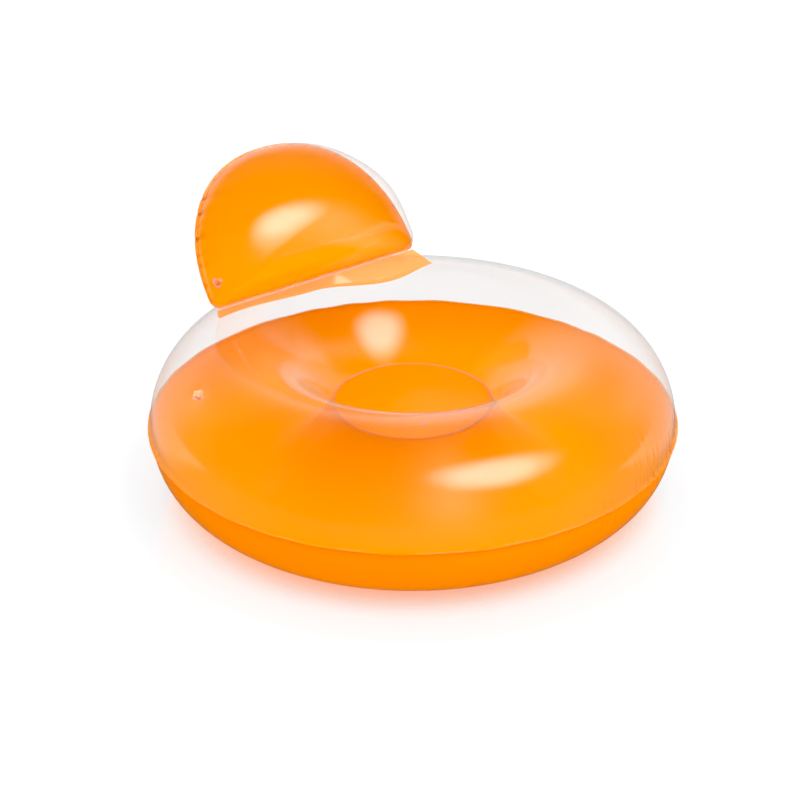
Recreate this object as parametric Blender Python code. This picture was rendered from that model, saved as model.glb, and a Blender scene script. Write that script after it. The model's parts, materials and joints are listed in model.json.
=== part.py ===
"""Inflatable pool lounger: a ring of clear and orange vinyl film with a seat sheet and a pillow backrest.

Each film is its own thin shell, and the films lie face to face along flat welds. The ring's floor
contact is at Z = 0, its axis is the Z axis, and the sitter faces -Y with the pillow behind at +Y.
"""

import math

import bmesh
import bpy
import numpy as np
from mathutils import Matrix, Vector

# Films and welds, in metres
FILM_THICKNESS = 0.0003
WELD_GAP = 0.0003
WELD_WIDTH = 0.006
MERGE_DISTANCE = 0.00001

# Ring: two annular films welded along both edges, and inflated
RING_SEAM_RADIUS = 0.606
SEAT_WELD_RADIUS = 0.186
RING_TOP_BULGE = 0.183
RING_BOTTOM_BULGE = 0.178
SEAT_RISE = 0.030
FOOT_DEPTH = 0.0005
RING_SEGMENTS = 72
RING_TOP_ROWS = 14
RING_FOOT_INNER_ROWS = 7
RING_FOOT_OUTER_ROWS = 5
SECTION_STEPS = 1200
SLOPE_TRIALS = 50

# Seat sheet and its drain
DRAIN_X = -0.050
DRAIN_Y = -0.102
DRAIN_HOLE_RADIUS = 0.005
DRAIN_RING_RADIUS = 0.010
DRAIN_RING_THICKNESS = 0.0008
DRAIN_RING_CLEARANCE = 0.0005

# Pillow: two half-moon films, leaning back on a flap
PILLOW_WIDTH = 0.587
PILLOW_HEIGHT = 0.338
PILLOW_FRONT_BULGE = 0.140
PILLOW_BACK_BULGE = 0.107
PILLOW_STRETCH_SHARE = 0.7
PILLOW_CORNER_RADIUS = 0.022
PILLOW_BASE_FROM_SEAM = 0.236
PILLOW_BASE_OVER_CREST = 0.0165
PILLOW_LEAN = math.radians(38.5)
PILLOW_OUTLINE_POWER = 2.18
PILLOW_CENTRE_SHARE = 0.44
PILLOW_OVAL_SHARE = 0.47
PILLOW_OVAL_POWER = 2.0
PILLOW_ARCH_POINTS = 26
PILLOW_CORNER_POINTS = 3
PILLOW_BASE_POINTS = 11
PILLOW_RING_SHARES = (0.30, 0.56, 0.76, 0.90, 0.97, 1.0)
PILLOW_REST_CLEARANCE = 0.0027

# Flap that carries the pillow on the ring's top film
HINGE_GAP = 0.00045
FLAP_SHORT_REACH = 0.006
FLAP_LONG_REACH = 0.0735
FLAP_TURN_START = -0.020
FLAP_TURN_END = 0.220
FLAP_MARGIN = 0.010
FLAP_RISE_SHARES = (0.25, 0.55)
FLAP_SIDE_INSET = 0.004
FLAP_COLUMNS = 40
FLAP_CLEARANCE = 0.0009

# Valve, one for each air chamber
VALVE_BASE_RADIUS = 0.0140
VALVE_BASE_THICKNESS = 0.0008
VALVE_SEAT_GAP = 0.0003
VALVE_SLIDE_CLEARANCE = 0.0004
STEM_RADIUS = 0.0065
STEM_LENGTH = 0.0150
STEM_BORE_RADIUS = 0.0043
STEM_LIP_RADIUS = 0.0090
STEM_LIP_THICKNESS = 0.0014
STEM_MOUTH_CHAMFER = 0.0006
PLUG_CLEARANCE = 0.0003
PLUG_LENGTH = 0.0080
PLUG_TAPER = 0.0006
PLUG_CAP_RADIUS = 0.0078
PLUG_CAP_THICKNESS = 0.0018
PLUG_CAP_CHAMFER = 0.0005
PLUG_TAB_LENGTH = 0.0060
PLUG_TAB_WIDTH = 0.0060
PLUG_TAB_THICKNESS = 0.0009
STRAP_WIDTH = 0.0045
STRAP_THICKNESS = 0.0009
STRAP_REACH = 0.0070
STRAP_LEG_STEPS = 3
STRAP_BEND_STEPS = 6
CHECK_FLAP_RADIUS = 0.0054
CHECK_FLAP_THICKNESS = 0.0005
CHECK_HINGE_WIDTH = 0.0050
VALVE_SEGMENTS = 24
CUTTER_OVERRUN = 0.004

# Where the valves sit: on the ring's flat facet at an angle and a share of the way out, and on the pillow's back
RING_VALVE_ANGLE = math.radians(167.5)
RING_VALVE_REACH_SHARE = 0.795
PILLOW_VALVE_INSET = 0.0625
PILLOW_VALVE_UP = 0.074

# Finishes: colours as red, green, blue and alpha, and roughness
ORANGE_FILM = (1.0, 0.30, 0.0, 0.88)
ORANGE_ROUGHNESS = 0.25
CLEAR_FILM = (0.93, 0.93, 0.92, 0.30)
CLEAR_ROUGHNESS = 0.12
VALVE_VINYL = (0.96, 0.86, 0.74, 0.75)
VALVE_ROUGHNESS = 0.35
SHARP_ANGLE = math.radians(35.0)


def clear_scene():
    """Remove every object of the scene that is open."""
    for item in list(bpy.data.objects):
        bpy.data.objects.remove(item, do_unlink=True)


def vinyl(name, colour, roughness):
    """Principled material of a smooth vinyl film or moulding."""
    material = bpy.data.materials.new(name)
    material.use_nodes = True
    shader = material.node_tree.nodes["Principled BSDF"]
    shader.inputs["Base Color"].default_value = colour[:3] + (1.0,)
    shader.inputs["Alpha"].default_value = colour[3]
    shader.inputs["Roughness"].default_value = roughness
    shader.inputs["Metallic"].default_value = 0.0
    material.diffuse_color = colour
    return material


def add_object(name, bm, material):
    """Turn a bmesh into a named object of the scene, shaded smooth up to its sharp edges."""
    mesh = bpy.data.meshes.new(name)
    bm.to_mesh(mesh)
    bm.free()
    mesh.shade_smooth()
    mesh.set_sharp_from_angle(angle=SHARP_ANGLE)
    item = bpy.data.objects.new(name, mesh)
    item.data.materials.append(material)
    bpy.context.scene.collection.objects.link(item)
    return item


def add_frame(name, place):
    """Empty that carries the pieces of one sub-assembly."""
    frame = bpy.data.objects.new(name, None)
    frame.matrix_world = place
    bpy.context.scene.collection.objects.link(frame)
    return frame


def put_in_frame(item, frame):
    """Parent an object to an empty, with its place given in that empty's axes."""
    item.parent = frame
    item.matrix_parent_inverse = Matrix.Identity(4)
    return item


def thicken(item, thickness, offset):
    """Give a film its thickness: offset -1 puts it behind the face, 0 on both sides."""
    shell = item.modifiers.new("film_thickness", "SOLIDIFY")
    shell.thickness = thickness
    shell.offset = offset
    shell.use_even_offset = True
    return item


def cut(item, cutter):
    """Take one cutter out of an object with an exact Boolean."""
    hole = item.modifiers.new("hole", "BOOLEAN")
    hole.operation = "DIFFERENCE"
    hole.solver = "EXACT"
    hole.object = cutter
    return item


def turned(points, segments, closed=False):
    """Turn a profile of (radius, height) points about Z."""
    bm = bmesh.new()
    verts = [bm.verts.new((radius, 0.0, height)) for radius, height in points]
    edges = [bm.edges.new(pair) for pair in zip(verts, verts[1:])]
    if closed:
        edges.append(bm.edges.new((verts[-1], verts[0])))
    bmesh.ops.spin(
        bm,
        geom=verts + edges,
        cent=(0.0, 0.0, 0.0),
        axis=(0.0, 0.0, 1.0),
        dvec=(0.0, 0.0, 0.0),
        angle=math.tau,
        steps=segments,
        use_merge=True,
    )
    bmesh.ops.remove_doubles(bm, verts=bm.verts, dist=MERGE_DISTANCE)
    bmesh.ops.recalc_face_normals(bm, faces=bm.faces)
    return bm


def bulge_section(inner, outer, inner_sine):
    """Radii and heights of an inflated film between two circles.

    The sine of the film's slope falls with the square of the radius, from inner_sine at the inner
    circle to -1 at the outer one, where the film stands upright on its weld.
    """
    turn = np.linspace(0.0, math.pi / 2.0, SECTION_STEPS)
    radius = inner + (outer - inner) * np.sin(turn)
    fall = (radius**2 - inner**2) / (outer**2 - inner**2)
    sine = inner_sine - (1.0 + inner_sine) * fall
    cosine = np.sqrt(np.clip(1.0 - sine**2, 0.0, None))
    rate = np.empty_like(turn)
    rate[:-1] = sine[:-1] / cosine[:-1] * (outer - inner) * np.cos(turn[:-1])
    rate[-1] = rate[-2]
    steps = (rate[1:] + rate[:-1]) / 2.0 * np.diff(turn)
    return radius, np.concatenate([[0.0], np.cumsum(steps)])


def ring_sine():
    """Sine of the ring film's slope at the seat weld, for which it ends level with where it starts."""
    low = 0.0
    high = 1.0 - 1.0 / SECTION_STEPS
    for _ in range(SLOPE_TRIALS):
        middle = (low + high) / 2.0
        end = bulge_section(SEAT_WELD_RADIUS, RING_SEAM_RADIUS, middle)[1][-1]
        if end > 0.0:
            high = middle
        else:
            low = middle
    return (low + high) / 2.0


def ring_curve(side):
    """Fine curve of the ring's outer face above the seam: side is 1 for the top film, -1 for the bottom."""
    radius, height = bulge_section(SEAT_WELD_RADIUS, RING_SEAM_RADIUS, ring_sine())
    bulge = RING_TOP_BULGE if side > 0 else RING_BOTTOM_BULGE
    across = (RING_SEAM_RADIUS - radius) / (RING_SEAM_RADIUS - SEAT_WELD_RADIUS)
    seam_lift = WELD_GAP / 2.0 + FILM_THICKNESS
    seat_lift = FILM_THICKNESS / 2.0 + WELD_GAP + FILM_THICKNESS
    lift = seam_lift + (seat_lift - seam_lift) * across
    return radius, side * (height * bulge / height.max() + lift) + SEAT_RISE * across


def even_points(radius, height, rows):
    """Points at even steps along a curve."""
    travel = np.concatenate([[0.0], np.cumsum(np.hypot(np.diff(radius), np.diff(height)))])
    marks = np.linspace(0.0, travel[-1], rows + 1)
    return np.column_stack([np.interp(marks, travel, radius), np.interp(marks, travel, height)])


def with_welds(points):
    """Add the flat weld margins inside the seat weld and outside the seam."""
    inner = [points[0][0] - WELD_WIDTH, points[0][1]]
    outer = [points[-1][0] + WELD_WIDTH, points[-1][1]]
    return np.vstack([inner, points, outer])


def ring_top_points():
    """Profile of the ring's top film, from the seat weld to the seam."""
    return with_welds(even_points(*ring_curve(1), RING_TOP_ROWS))


def ring_bottom_points():
    """Profile of the ring's bottom film, with the flat that it stands on."""
    radius, height = ring_curve(-1)
    floor = height.min() + FOOT_DEPTH
    below = np.flatnonzero(height < floor)
    first = below[0]
    last = below[-1]
    height = np.maximum(height, floor)
    inner = even_points(radius[: first + 1], height[: first + 1], RING_FOOT_INNER_ROWS)
    outer = even_points(radius[last:], height[last:], RING_FOOT_OUTER_ROWS)
    inner[-1][1] = floor
    outer[0][1] = floor
    return with_welds(np.vstack([inner, outer]))


TOP_POINTS = ring_top_points()
BOTTOM_POINTS = ring_bottom_points()
SEAM_HEIGHT = -BOTTOM_POINTS[:, 1].min()
SEAT_HEIGHT = SEAM_HEIGHT + SEAT_RISE


def ring_top_height(x, y):
    """World height of the ring's faceted top film above the point (x, y)."""
    step = math.tau / RING_SEGMENTS
    angle = math.atan2(y, x)
    middle = (math.floor(angle / step) + 0.5) * step
    reach = math.hypot(x, y) * math.cos(angle - middle) / math.cos(step / 2.0)
    return SEAM_HEIGHT + float(np.interp(reach, TOP_POINTS[:, 0], TOP_POINTS[:, 1]))


def make_ring_film(name, points, side, material):
    """One film of the ring, turned about Z and thickened into the chamber."""
    bm = turned(points, RING_SEGMENTS)
    crest = max(bm.faces, key=lambda face: side * face.calc_center_median().z)
    if crest.normal.z * side < 0.0:
        bmesh.ops.reverse_faces(bm, faces=bm.faces)
    film = add_object(name, bm, material)
    film.location.z = SEAM_HEIGHT
    return thicken(film, FILM_THICKNESS, -1.0)


def plate_points(radius, bottom, top):
    """Closed profile of a round plate about Z."""
    return [(0.0, top), (radius, top), (radius, bottom), (0.0, bottom)]


def washer_points(inner, outer, bottom, top):
    """Closed profile of a flat washer about Z."""
    return [(inner, top), (outer, top), (outer, bottom), (inner, bottom)]


def add_guide(name, bm):
    """Hidden solid that a Boolean reads, kept in the scene as a wire outline."""
    guide = bpy.data.objects.new(name, bpy.data.meshes.new(name))
    bm.to_mesh(guide.data)
    bm.free()
    guide.hide_render = True
    guide.display_type = "WIRE"
    bpy.context.scene.collection.objects.link(guide)
    return guide


def make_cutter(name, radius):
    """Round cutter that runs through a film on both sides."""
    return add_guide(name, turned(plate_points(radius, -CUTTER_OVERRUN, CUTTER_OVERRUN), VALVE_SEGMENTS))


def make_seat(orange, moulded):
    """Taut seat sheet between the ring's two inner weld margins, with its drain and reinforcing ring."""
    half = FILM_THICKNESS / 2.0
    sheet = add_object("seat_sheet", turned(plate_points(SEAT_WELD_RADIUS, -half, half), RING_SEGMENTS), orange)
    sheet.location.z = SEAT_HEIGHT
    drain = make_cutter("drain_cutter", DRAIN_HOLE_RADIUS)
    drain.location = (DRAIN_X, DRAIN_Y, SEAT_HEIGHT)
    cut(sheet, drain)
    bottom = half + WELD_GAP
    inner = DRAIN_HOLE_RADIUS + DRAIN_RING_CLEARANCE
    profile = washer_points(inner, DRAIN_RING_RADIUS, bottom, bottom + DRAIN_RING_THICKNESS)
    ring = add_object("drain_ring", turned(profile, VALVE_SEGMENTS, closed=True), moulded)
    ring.location = (DRAIN_X, DRAIN_Y, SEAT_HEIGHT)


def pillow_outline():
    """Weld line of the pillow as (across, up) points: an arch, two round corners and a straight base."""
    corner = PILLOW_CORNER_RADIUS
    half = PILLOW_WIDTH / 2.0
    power = 2.0 / PILLOW_OUTLINE_POWER
    turn = np.linspace(0.0, math.pi, PILLOW_ARCH_POINTS)
    across = half * np.sign(np.cos(turn)) * np.abs(np.cos(turn)) ** power
    up = corner + (PILLOW_HEIGHT - corner) * np.abs(np.sin(turn)) ** power
    arch = np.column_stack([across, up])
    bend = np.linspace(0.0, math.pi / 2.0, PILLOW_CORNER_POINTS + 1)[1:]
    left = np.column_stack([-half + corner - corner * np.cos(bend), corner - corner * np.sin(bend)])
    right = (left * (-1.0, 1.0))[::-1]
    base_across = np.linspace(-half + corner, half - corner, PILLOW_BASE_POINTS)[1:-1]
    base = np.column_stack([base_across, np.zeros_like(base_across)])
    return np.vstack([arch, left, base, right])


def outline_margin(outline):
    """The same outline moved out by the weld's width, square to the weld line."""
    ahead = np.roll(outline, -1, axis=0) - outline
    behind = outline - np.roll(outline, 1, axis=0)
    ahead /= np.linalg.norm(ahead, axis=1)[:, None]
    behind /= np.linalg.norm(behind, axis=1)[:, None]
    along = ahead + behind
    along /= np.linalg.norm(along, axis=1)[:, None]
    outward = np.column_stack([along[:, 1], -along[:, 0]])
    mitre = np.sum(ahead * along, axis=1)[:, None]
    return outline + outward * WELD_WIDTH / mitre


def dome_share(share):
    """Height of an inflated film, as a share of its bulge, at a share of the way out to its weld.

    The sine of the slope is a mix of the share and its square: the square is the law of a film that
    can't stretch, and the share itself that of one which stretches like a soap film.
    """
    turn = np.linspace(0.0, math.pi / 2.0, SECTION_STEPS)
    out = np.sin(turn)
    sine = out * (PILLOW_STRETCH_SHARE + (1.0 - PILLOW_STRETCH_SHARE) * out)
    rate = np.zeros_like(turn)
    rate[:-1] = sine[:-1] / np.sqrt(1.0 - sine[:-1] ** 2) * np.cos(turn[:-1])
    rate[-1] = rate[-2]
    steps = (rate[1:] + rate[:-1]) / 2.0 * np.diff(turn)
    depth = np.concatenate([[0.0], np.cumsum(steps)])
    return float(np.interp(share, out, 1.0 - depth / depth[-1]))


def rounded_outline(outline, centre, share):
    """Outline of one level of the dome: an oval near the centre that grows into the weld line."""
    spread = outline - centre
    reach = np.linalg.norm(spread, axis=1)[:, None]
    oval_size = np.array([PILLOW_WIDTH / 2.0, PILLOW_HEIGHT * PILLOW_OVAL_SHARE])
    oval = 1.0 / np.linalg.norm(spread / reach / oval_size, axis=1)[:, None]
    blend = share**PILLOW_OVAL_POWER
    return centre + spread / reach * (reach * blend + oval * (1.0 - blend)) * share


def pillow_rings(side, bulge):
    """Rings of points of one pillow film in the pillow's axes: side is -1 for the front, 1 for the back."""
    outline = pillow_outline()
    centre = np.array([0.0, PILLOW_HEIGHT * PILLOW_CENTRE_SHARE])
    edge = WELD_GAP / 2.0 + FILM_THICKNESS
    lift = WELD_WIDTH + HINGE_GAP
    rings = []
    for share in PILLOW_RING_SHARES:
        flat = rounded_outline(outline, centre, share)
        depth = side * (edge + bulge * dome_share(share))
        rings.append([Vector((across, depth, up + lift)) for across, up in flat])
    margin = outline_margin(outline)
    rings.append([Vector((across, side * edge, up + lift)) for across, up in margin])
    tip = Vector((0.0, side * (edge + bulge), centre[1] + lift))
    return rings, tip


def pillow_base_y():
    """How far behind the ring's axis the pillow's straight edge lies."""
    return RING_SEAM_RADIUS - PILLOW_BASE_FROM_SEAM


def pillow_place():
    """World place of the pillow's hinge line, with Z up the pillow and Y towards its back."""
    turn = Matrix.Rotation(-PILLOW_LEAN, 4, "X")
    crest = SEAM_HEIGHT + TOP_POINTS[:, 1].max()
    weld = Vector((0.0, pillow_base_y(), crest + PILLOW_BASE_OVER_CREST))
    hinge = weld - turn.to_3x3() @ Vector((0.0, 0.0, WELD_WIDTH + HINGE_GAP))
    return Matrix.Translation(hinge) @ turn


def rest_on_ring(rings, place):
    """Flatten the film where it lies on the ring's top film."""
    back = place.inverted()
    for ring in rings:
        for index, point in enumerate(ring):
            world = place @ point
            lowest = ring_top_height(world.x, world.y) + PILLOW_REST_CLEARANCE
            if math.hypot(world.x, world.y) < RING_SEAM_RADIUS and world.z < lowest:
                world.z = lowest
                ring[index] = back @ world


def facet_spots(rings):
    """Places in the rings of the four corners of each facet between two rings."""
    for row in range(len(rings) - 1):
        for column in range(len(rings[row]) - 1):
            yield (row, column), (row, column + 1), (row + 1, column + 1), (row + 1, column)


def flatten_facet(rings, across, up):
    """Put the four-sided facet nearest to a spot on a plane, and return its centre and normal."""
    spot = Vector((across, up))

    def distance(corners):
        middle = sum((rings[row][column] for row, column in corners), Vector()) / len(corners)
        return (middle.xz - spot).length

    spots = min(facet_spots(rings), key=distance)
    corners = [rings[row][column] for row, column in spots]
    centre = sum(corners, Vector()) / len(corners)
    normal = (corners[2] - corners[0]).cross(corners[3] - corners[1]).normalized()
    for (row, column), corner in zip(spots, corners):
        rings[row][column] = corner - normal * normal.dot(corner - centre)
    return centre, normal


def lofted_film(rings, tip, side):
    """Surface through the rings, closed by a fan at its tip, with its faces towards the given side."""
    bm = bmesh.new()
    loops = [[bm.verts.new(point) for point in ring] for ring in rings]
    centre = bm.verts.new(tip)
    count = len(loops[0])
    for index in range(count):
        following = (index + 1) % count
        bm.faces.new((centre, loops[0][index], loops[0][following]))
        for inner, outer in zip(loops, loops[1:]):
            bm.faces.new((inner[index], outer[index], outer[following], inner[following]))
    bm.normal_update()
    tip_face = centre.link_faces[0]
    if tip_face.normal.y * side < 0.0:
        bmesh.ops.reverse_faces(bm, faces=bm.faces)
    return bm


def make_pillow(clear, orange):
    """Front and back film of the pillow; returns the back film and the world place of its valve."""
    place = pillow_place()
    frame = add_frame("pillow_frame", place)
    rings, tip = pillow_rings(-1.0, PILLOW_FRONT_BULGE)
    front = add_object("pillow_front_film", lofted_film(rings, tip, -1.0), clear)
    put_in_frame(thicken(front, FILM_THICKNESS, -1.0), frame)
    rings, tip = pillow_rings(1.0, PILLOW_BACK_BULGE)
    rest_on_ring(rings, place)
    centre, normal = flatten_facet(rings, PILLOW_VALVE_INSET - PILLOW_WIDTH / 2.0, PILLOW_VALVE_UP)
    back = add_object("pillow_back_film", lofted_film(rings, tip, 1.0), orange)
    put_in_frame(thicken(back, FILM_THICKNESS, -1.0), frame)
    if normal.y < 0.0:
        normal = -normal
    across = Vector((0.0, 0.0, 1.0)).cross(normal).normalized()
    return back, place @ axes_matrix(across, normal, centre)


def axes_matrix(first, third, centre):
    """Matrix with the given X and Z axes and origin."""
    second = third.cross(first)
    turn = Matrix((first, second, third)).transposed().to_4x4()
    return Matrix.Translation(centre) @ turn


def ring_valve_place():
    """World place of the ring's valve: the middle of one flat facet of the top film, Z outward."""
    step = math.tau / RING_SEGMENTS
    angle = (math.floor(RING_VALVE_ANGLE / step) + 0.5) * step
    reach = SEAT_WELD_RADIUS + (RING_SEAM_RADIUS - SEAT_WELD_RADIUS) * RING_VALVE_REACH_SHARE
    row = int(np.searchsorted(TOP_POINTS[:, 0], reach))
    inner = TOP_POINTS[row - 1]
    outer = TOP_POINTS[row]
    middle = (outer + inner) / 2.0
    run = (outer[0] - inner[0]) * math.cos(step / 2.0)
    fall = outer[1] - inner[1]
    outward = Vector((math.cos(angle), math.sin(angle), 0.0))
    along = Vector((-math.sin(angle), math.cos(angle), 0.0))
    normal = (outward * -fall + Vector((0.0, 0.0, run))).normalized()
    spot = outward * middle[0] * math.cos(step / 2.0)
    spot.z = SEAM_HEIGHT + middle[1]
    return axes_matrix(along, normal, spot)


def flap_reach(across):
    """How far ahead of the hinge line the flap is welded: short on the left, long on the right."""
    share = (across - FLAP_TURN_START) / (FLAP_TURN_END - FLAP_TURN_START)
    share = min(max(share, 0.0), 1.0)
    return FLAP_SHORT_REACH + (FLAP_LONG_REACH - FLAP_SHORT_REACH) * share * share * (3.0 - 2.0 * share)


def flap_column(across, hinge):
    """Points of the flap at one place across: two on its weld, two on its rise and one at the hinge."""
    foot_y = pillow_base_y() - flap_reach(across)
    margin = Vector((across, foot_y - FLAP_MARGIN, 0.0))
    foot = Vector((across, foot_y, 0.0))
    for point in (margin, foot):
        point.z = ring_top_height(point.x, point.y) + FLAP_CLEARANCE
    rise = Vector((across, hinge.y, hinge.z)) - foot
    top = foot + rise - rise.normalized() * HINGE_GAP
    middle = [foot.lerp(top, share) for share in FLAP_RISE_SHARES]
    for point in middle:
        point.z = max(point.z, ring_top_height(point.x, point.y) + FLAP_CLEARANCE)
    return [margin, foot, *middle, top]


def make_flap(orange):
    """Vinyl flap from its weld on the ring's top film up to the pillow's hinge line."""
    hinge = pillow_place().translation
    half = PILLOW_WIDTH / 2.0 - FLAP_SIDE_INSET
    bm = bmesh.new()
    columns = []
    for across in np.linspace(-half, half, FLAP_COLUMNS + 1):
        columns.append([bm.verts.new(point) for point in flap_column(across, hinge)])
    for left, right in zip(columns, columns[1:]):
        for low in range(len(left) - 1):
            bm.faces.new((left[low], right[low], right[low + 1], left[low + 1]))
    bm.normal_update()
    return thicken(add_object("pillow_hinge_flap", bm, orange), FILM_THICKNESS, 1.0)


def make_valve_base(name, frame, material):
    """Flange welded behind the film round the valve's hole."""
    top = -FILM_THICKNESS - VALVE_SEAT_GAP
    inner = STEM_RADIUS + VALVE_SLIDE_CLEARANCE
    profile = washer_points(inner, VALVE_BASE_RADIUS, top - VALVE_BASE_THICKNESS, top)
    put_in_frame(add_object(name, turned(profile, VALVE_SEGMENTS, closed=True), material), frame)


def make_valve_stem(name, frame, material):
    """Tube with a lip that rests on the film, and a chamfered mouth for the plug."""
    seat = VALVE_SEAT_GAP
    top = seat + STEM_LIP_THICKNESS
    profile = [
        (STEM_BORE_RADIUS + STEM_MOUTH_CHAMFER, top),
        (STEM_LIP_RADIUS, top),
        (STEM_LIP_RADIUS, seat),
        (STEM_RADIUS, seat),
        (STEM_RADIUS, seat - STEM_LENGTH),
        (STEM_BORE_RADIUS, seat - STEM_LENGTH),
        (STEM_BORE_RADIUS, top - STEM_MOUTH_CHAMFER),
    ]
    put_in_frame(add_object(name, turned(profile, VALVE_SEGMENTS, closed=True), material), frame)


def valve_levels():
    """Heights of the stem's lip and of the plug cap's two faces above the film."""
    lip = VALVE_SEAT_GAP + STEM_LIP_THICKNESS
    cap = lip + VALVE_SEAT_GAP
    return lip, cap, cap + PLUG_CAP_THICKNESS


def make_valve_plug(name, frame, material):
    """Tapered stopper with a chamfered cap and a finger tab, in one piece."""
    _, cap, top = valve_levels()
    stopper = STEM_BORE_RADIUS - PLUG_CLEARANCE
    profile = [
        (0.0, top),
        (PLUG_CAP_RADIUS - PLUG_CAP_CHAMFER, top),
        (PLUG_CAP_RADIUS, top - PLUG_CAP_CHAMFER),
        (PLUG_CAP_RADIUS, cap),
        (stopper, cap),
        (stopper - PLUG_TAPER, cap - PLUG_LENGTH),
        (0.0, cap - PLUG_LENGTH),
    ]
    plug = put_in_frame(add_object(name, turned(profile, VALVE_SEGMENTS), material), frame)
    tab = put_in_frame(add_guide(name + "_tab_guide", tab_solid((cap + top) / 2.0)), frame)
    join = plug.modifiers.new("tab", "BOOLEAN")
    join.operation = "UNION"
    join.solver = "EXACT"
    join.object = tab


def raised(rim, bottom, height):
    """Straight-sided solid over a flat rim of (x, y) points."""
    bm = bmesh.new()
    face = bm.faces.new([bm.verts.new((x, y, bottom)) for x, y in rim])
    walls = bmesh.ops.extrude_face_region(bm, geom=[face])
    lifted = [part for part in walls["geom"] if isinstance(part, bmesh.types.BMVert)]
    bmesh.ops.translate(bm, verts=lifted, vec=(0.0, 0.0, height))
    bmesh.ops.recalc_face_normals(bm, faces=bm.faces)
    return bm


def tab_solid(middle):
    """Flat finger tab with a round end that reaches out of the plug's cap along -X."""
    half = PLUG_TAB_WIDTH / 2.0
    straight = PLUG_CAP_RADIUS + PLUG_TAB_LENGTH - half
    turn = np.linspace(math.pi / 2.0, 3.0 * math.pi / 2.0, VALVE_SEGMENTS // 2 + 1)
    rim = [(-PLUG_CAP_RADIUS / 2.0, -half), (-PLUG_CAP_RADIUS / 2.0, half)]
    rim += [(-straight + half * math.cos(a), half * math.sin(a)) for a in turn]
    return raised(rim, middle - PLUG_TAB_THICKNESS / 2.0, PLUG_TAB_THICKNESS)


def make_valve_strap(name, frame, material):
    """Band that loops from the stem's lip out along +X and back to the plug's cap."""
    lip, cap, top = valve_levels()
    low = lip - STEM_LIP_THICKNESS / 2.0
    high = (cap + top) / 2.0
    bend = (high - low) / 2.0
    low_start = STEM_LIP_RADIUS + VALVE_SEAT_GAP
    high_end = PLUG_CAP_RADIUS + VALVE_SEAT_GAP
    turning = STEM_LIP_RADIUS + STRAP_REACH - bend
    path = [(x, low) for x in np.linspace(low_start, turning, STRAP_LEG_STEPS)]
    for a in np.linspace(-math.pi / 2.0, math.pi / 2.0, STRAP_BEND_STEPS + 1)[1:-1]:
        path.append((turning + bend * math.cos(a), (low + high) / 2.0 + bend * math.sin(a)))
    path += [(x, high) for x in np.linspace(turning, high_end, STRAP_LEG_STEPS)]
    half = STRAP_WIDTH / 2.0
    bm = bmesh.new()
    pairs = [(bm.verts.new((x, -half, z)), bm.verts.new((x, half, z))) for x, z in path]
    for (a, b), (c, d) in zip(pairs, pairs[1:]):
        bm.faces.new((a, c, d, b))
    bm.normal_update()
    strap = thicken(add_object(name, bm, material), STRAP_THICKNESS, 0.0)
    put_in_frame(strap, frame)


def make_check_flap(name, frame, material):
    """Disc that closes the stem's inner end, with a square ear on its hinge line."""
    top = VALVE_SEAT_GAP - STEM_LENGTH - VALVE_SEAT_GAP
    half = CHECK_HINGE_WIDTH / 2.0
    start = math.asin(half / CHECK_FLAP_RADIUS)
    turn = np.linspace(-math.pi + start, math.pi - start, VALVE_SEGMENTS)
    rim = [(CHECK_FLAP_RADIUS * math.cos(a), CHECK_FLAP_RADIUS * math.sin(a)) for a in turn]
    rim += [(-STEM_RADIUS, half), (-STEM_RADIUS, -half)]
    hinged = [(x + STEM_RADIUS, y) for x, y in rim]
    disc = raised(hinged, -CHECK_FLAP_THICKNESS, CHECK_FLAP_THICKNESS)
    flap = put_in_frame(add_object(name, disc, material), frame)
    flap.location = (-STEM_RADIUS, 0.0, top)


def make_valve(prefix, film, place, material):
    """The five pieces of one valve, and the hole that they fill in their film."""
    frame = add_frame(prefix + "_frame", place)
    hole = STEM_RADIUS + VALVE_SLIDE_CLEARANCE + VALVE_SEAT_GAP
    cut(film, put_in_frame(make_cutter(prefix + "_cutter", hole), frame))
    make_valve_base(prefix + "_base", frame, material)
    make_valve_stem(prefix + "_stem", frame, material)
    make_valve_plug(prefix + "_plug", frame, material)
    make_valve_strap(prefix + "_strap", frame, material)
    make_check_flap(prefix + "_check_flap", frame, material)


def main():
    """Build the lounger."""
    clear_scene()
    orange = vinyl("orange_film", ORANGE_FILM, ORANGE_ROUGHNESS)
    clear = vinyl("clear_film", CLEAR_FILM, CLEAR_ROUGHNESS)
    moulded = vinyl("valve_vinyl", VALVE_VINYL, VALVE_ROUGHNESS)
    top_film = make_ring_film("ring_top_film", TOP_POINTS, 1.0, clear)
    make_ring_film("ring_bottom_film", BOTTOM_POINTS, -1.0, orange)
    make_seat(orange, moulded)
    back_film, pillow_valve = make_pillow(clear, orange)
    make_flap(orange)
    make_valve("ring_valve", top_film, ring_valve_place(), moulded)
    make_valve("pillow_valve", back_film, pillow_valve, moulded)


main()
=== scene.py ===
"""Looks of an inflatable pool lounger: vinyl films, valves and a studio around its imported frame.

Each film is a thin closed shell. Its section follows the slope law of a film under even air pressure, and
puckers run in from its welds. Lengths are in metres, heights above the floor.
"""

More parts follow.
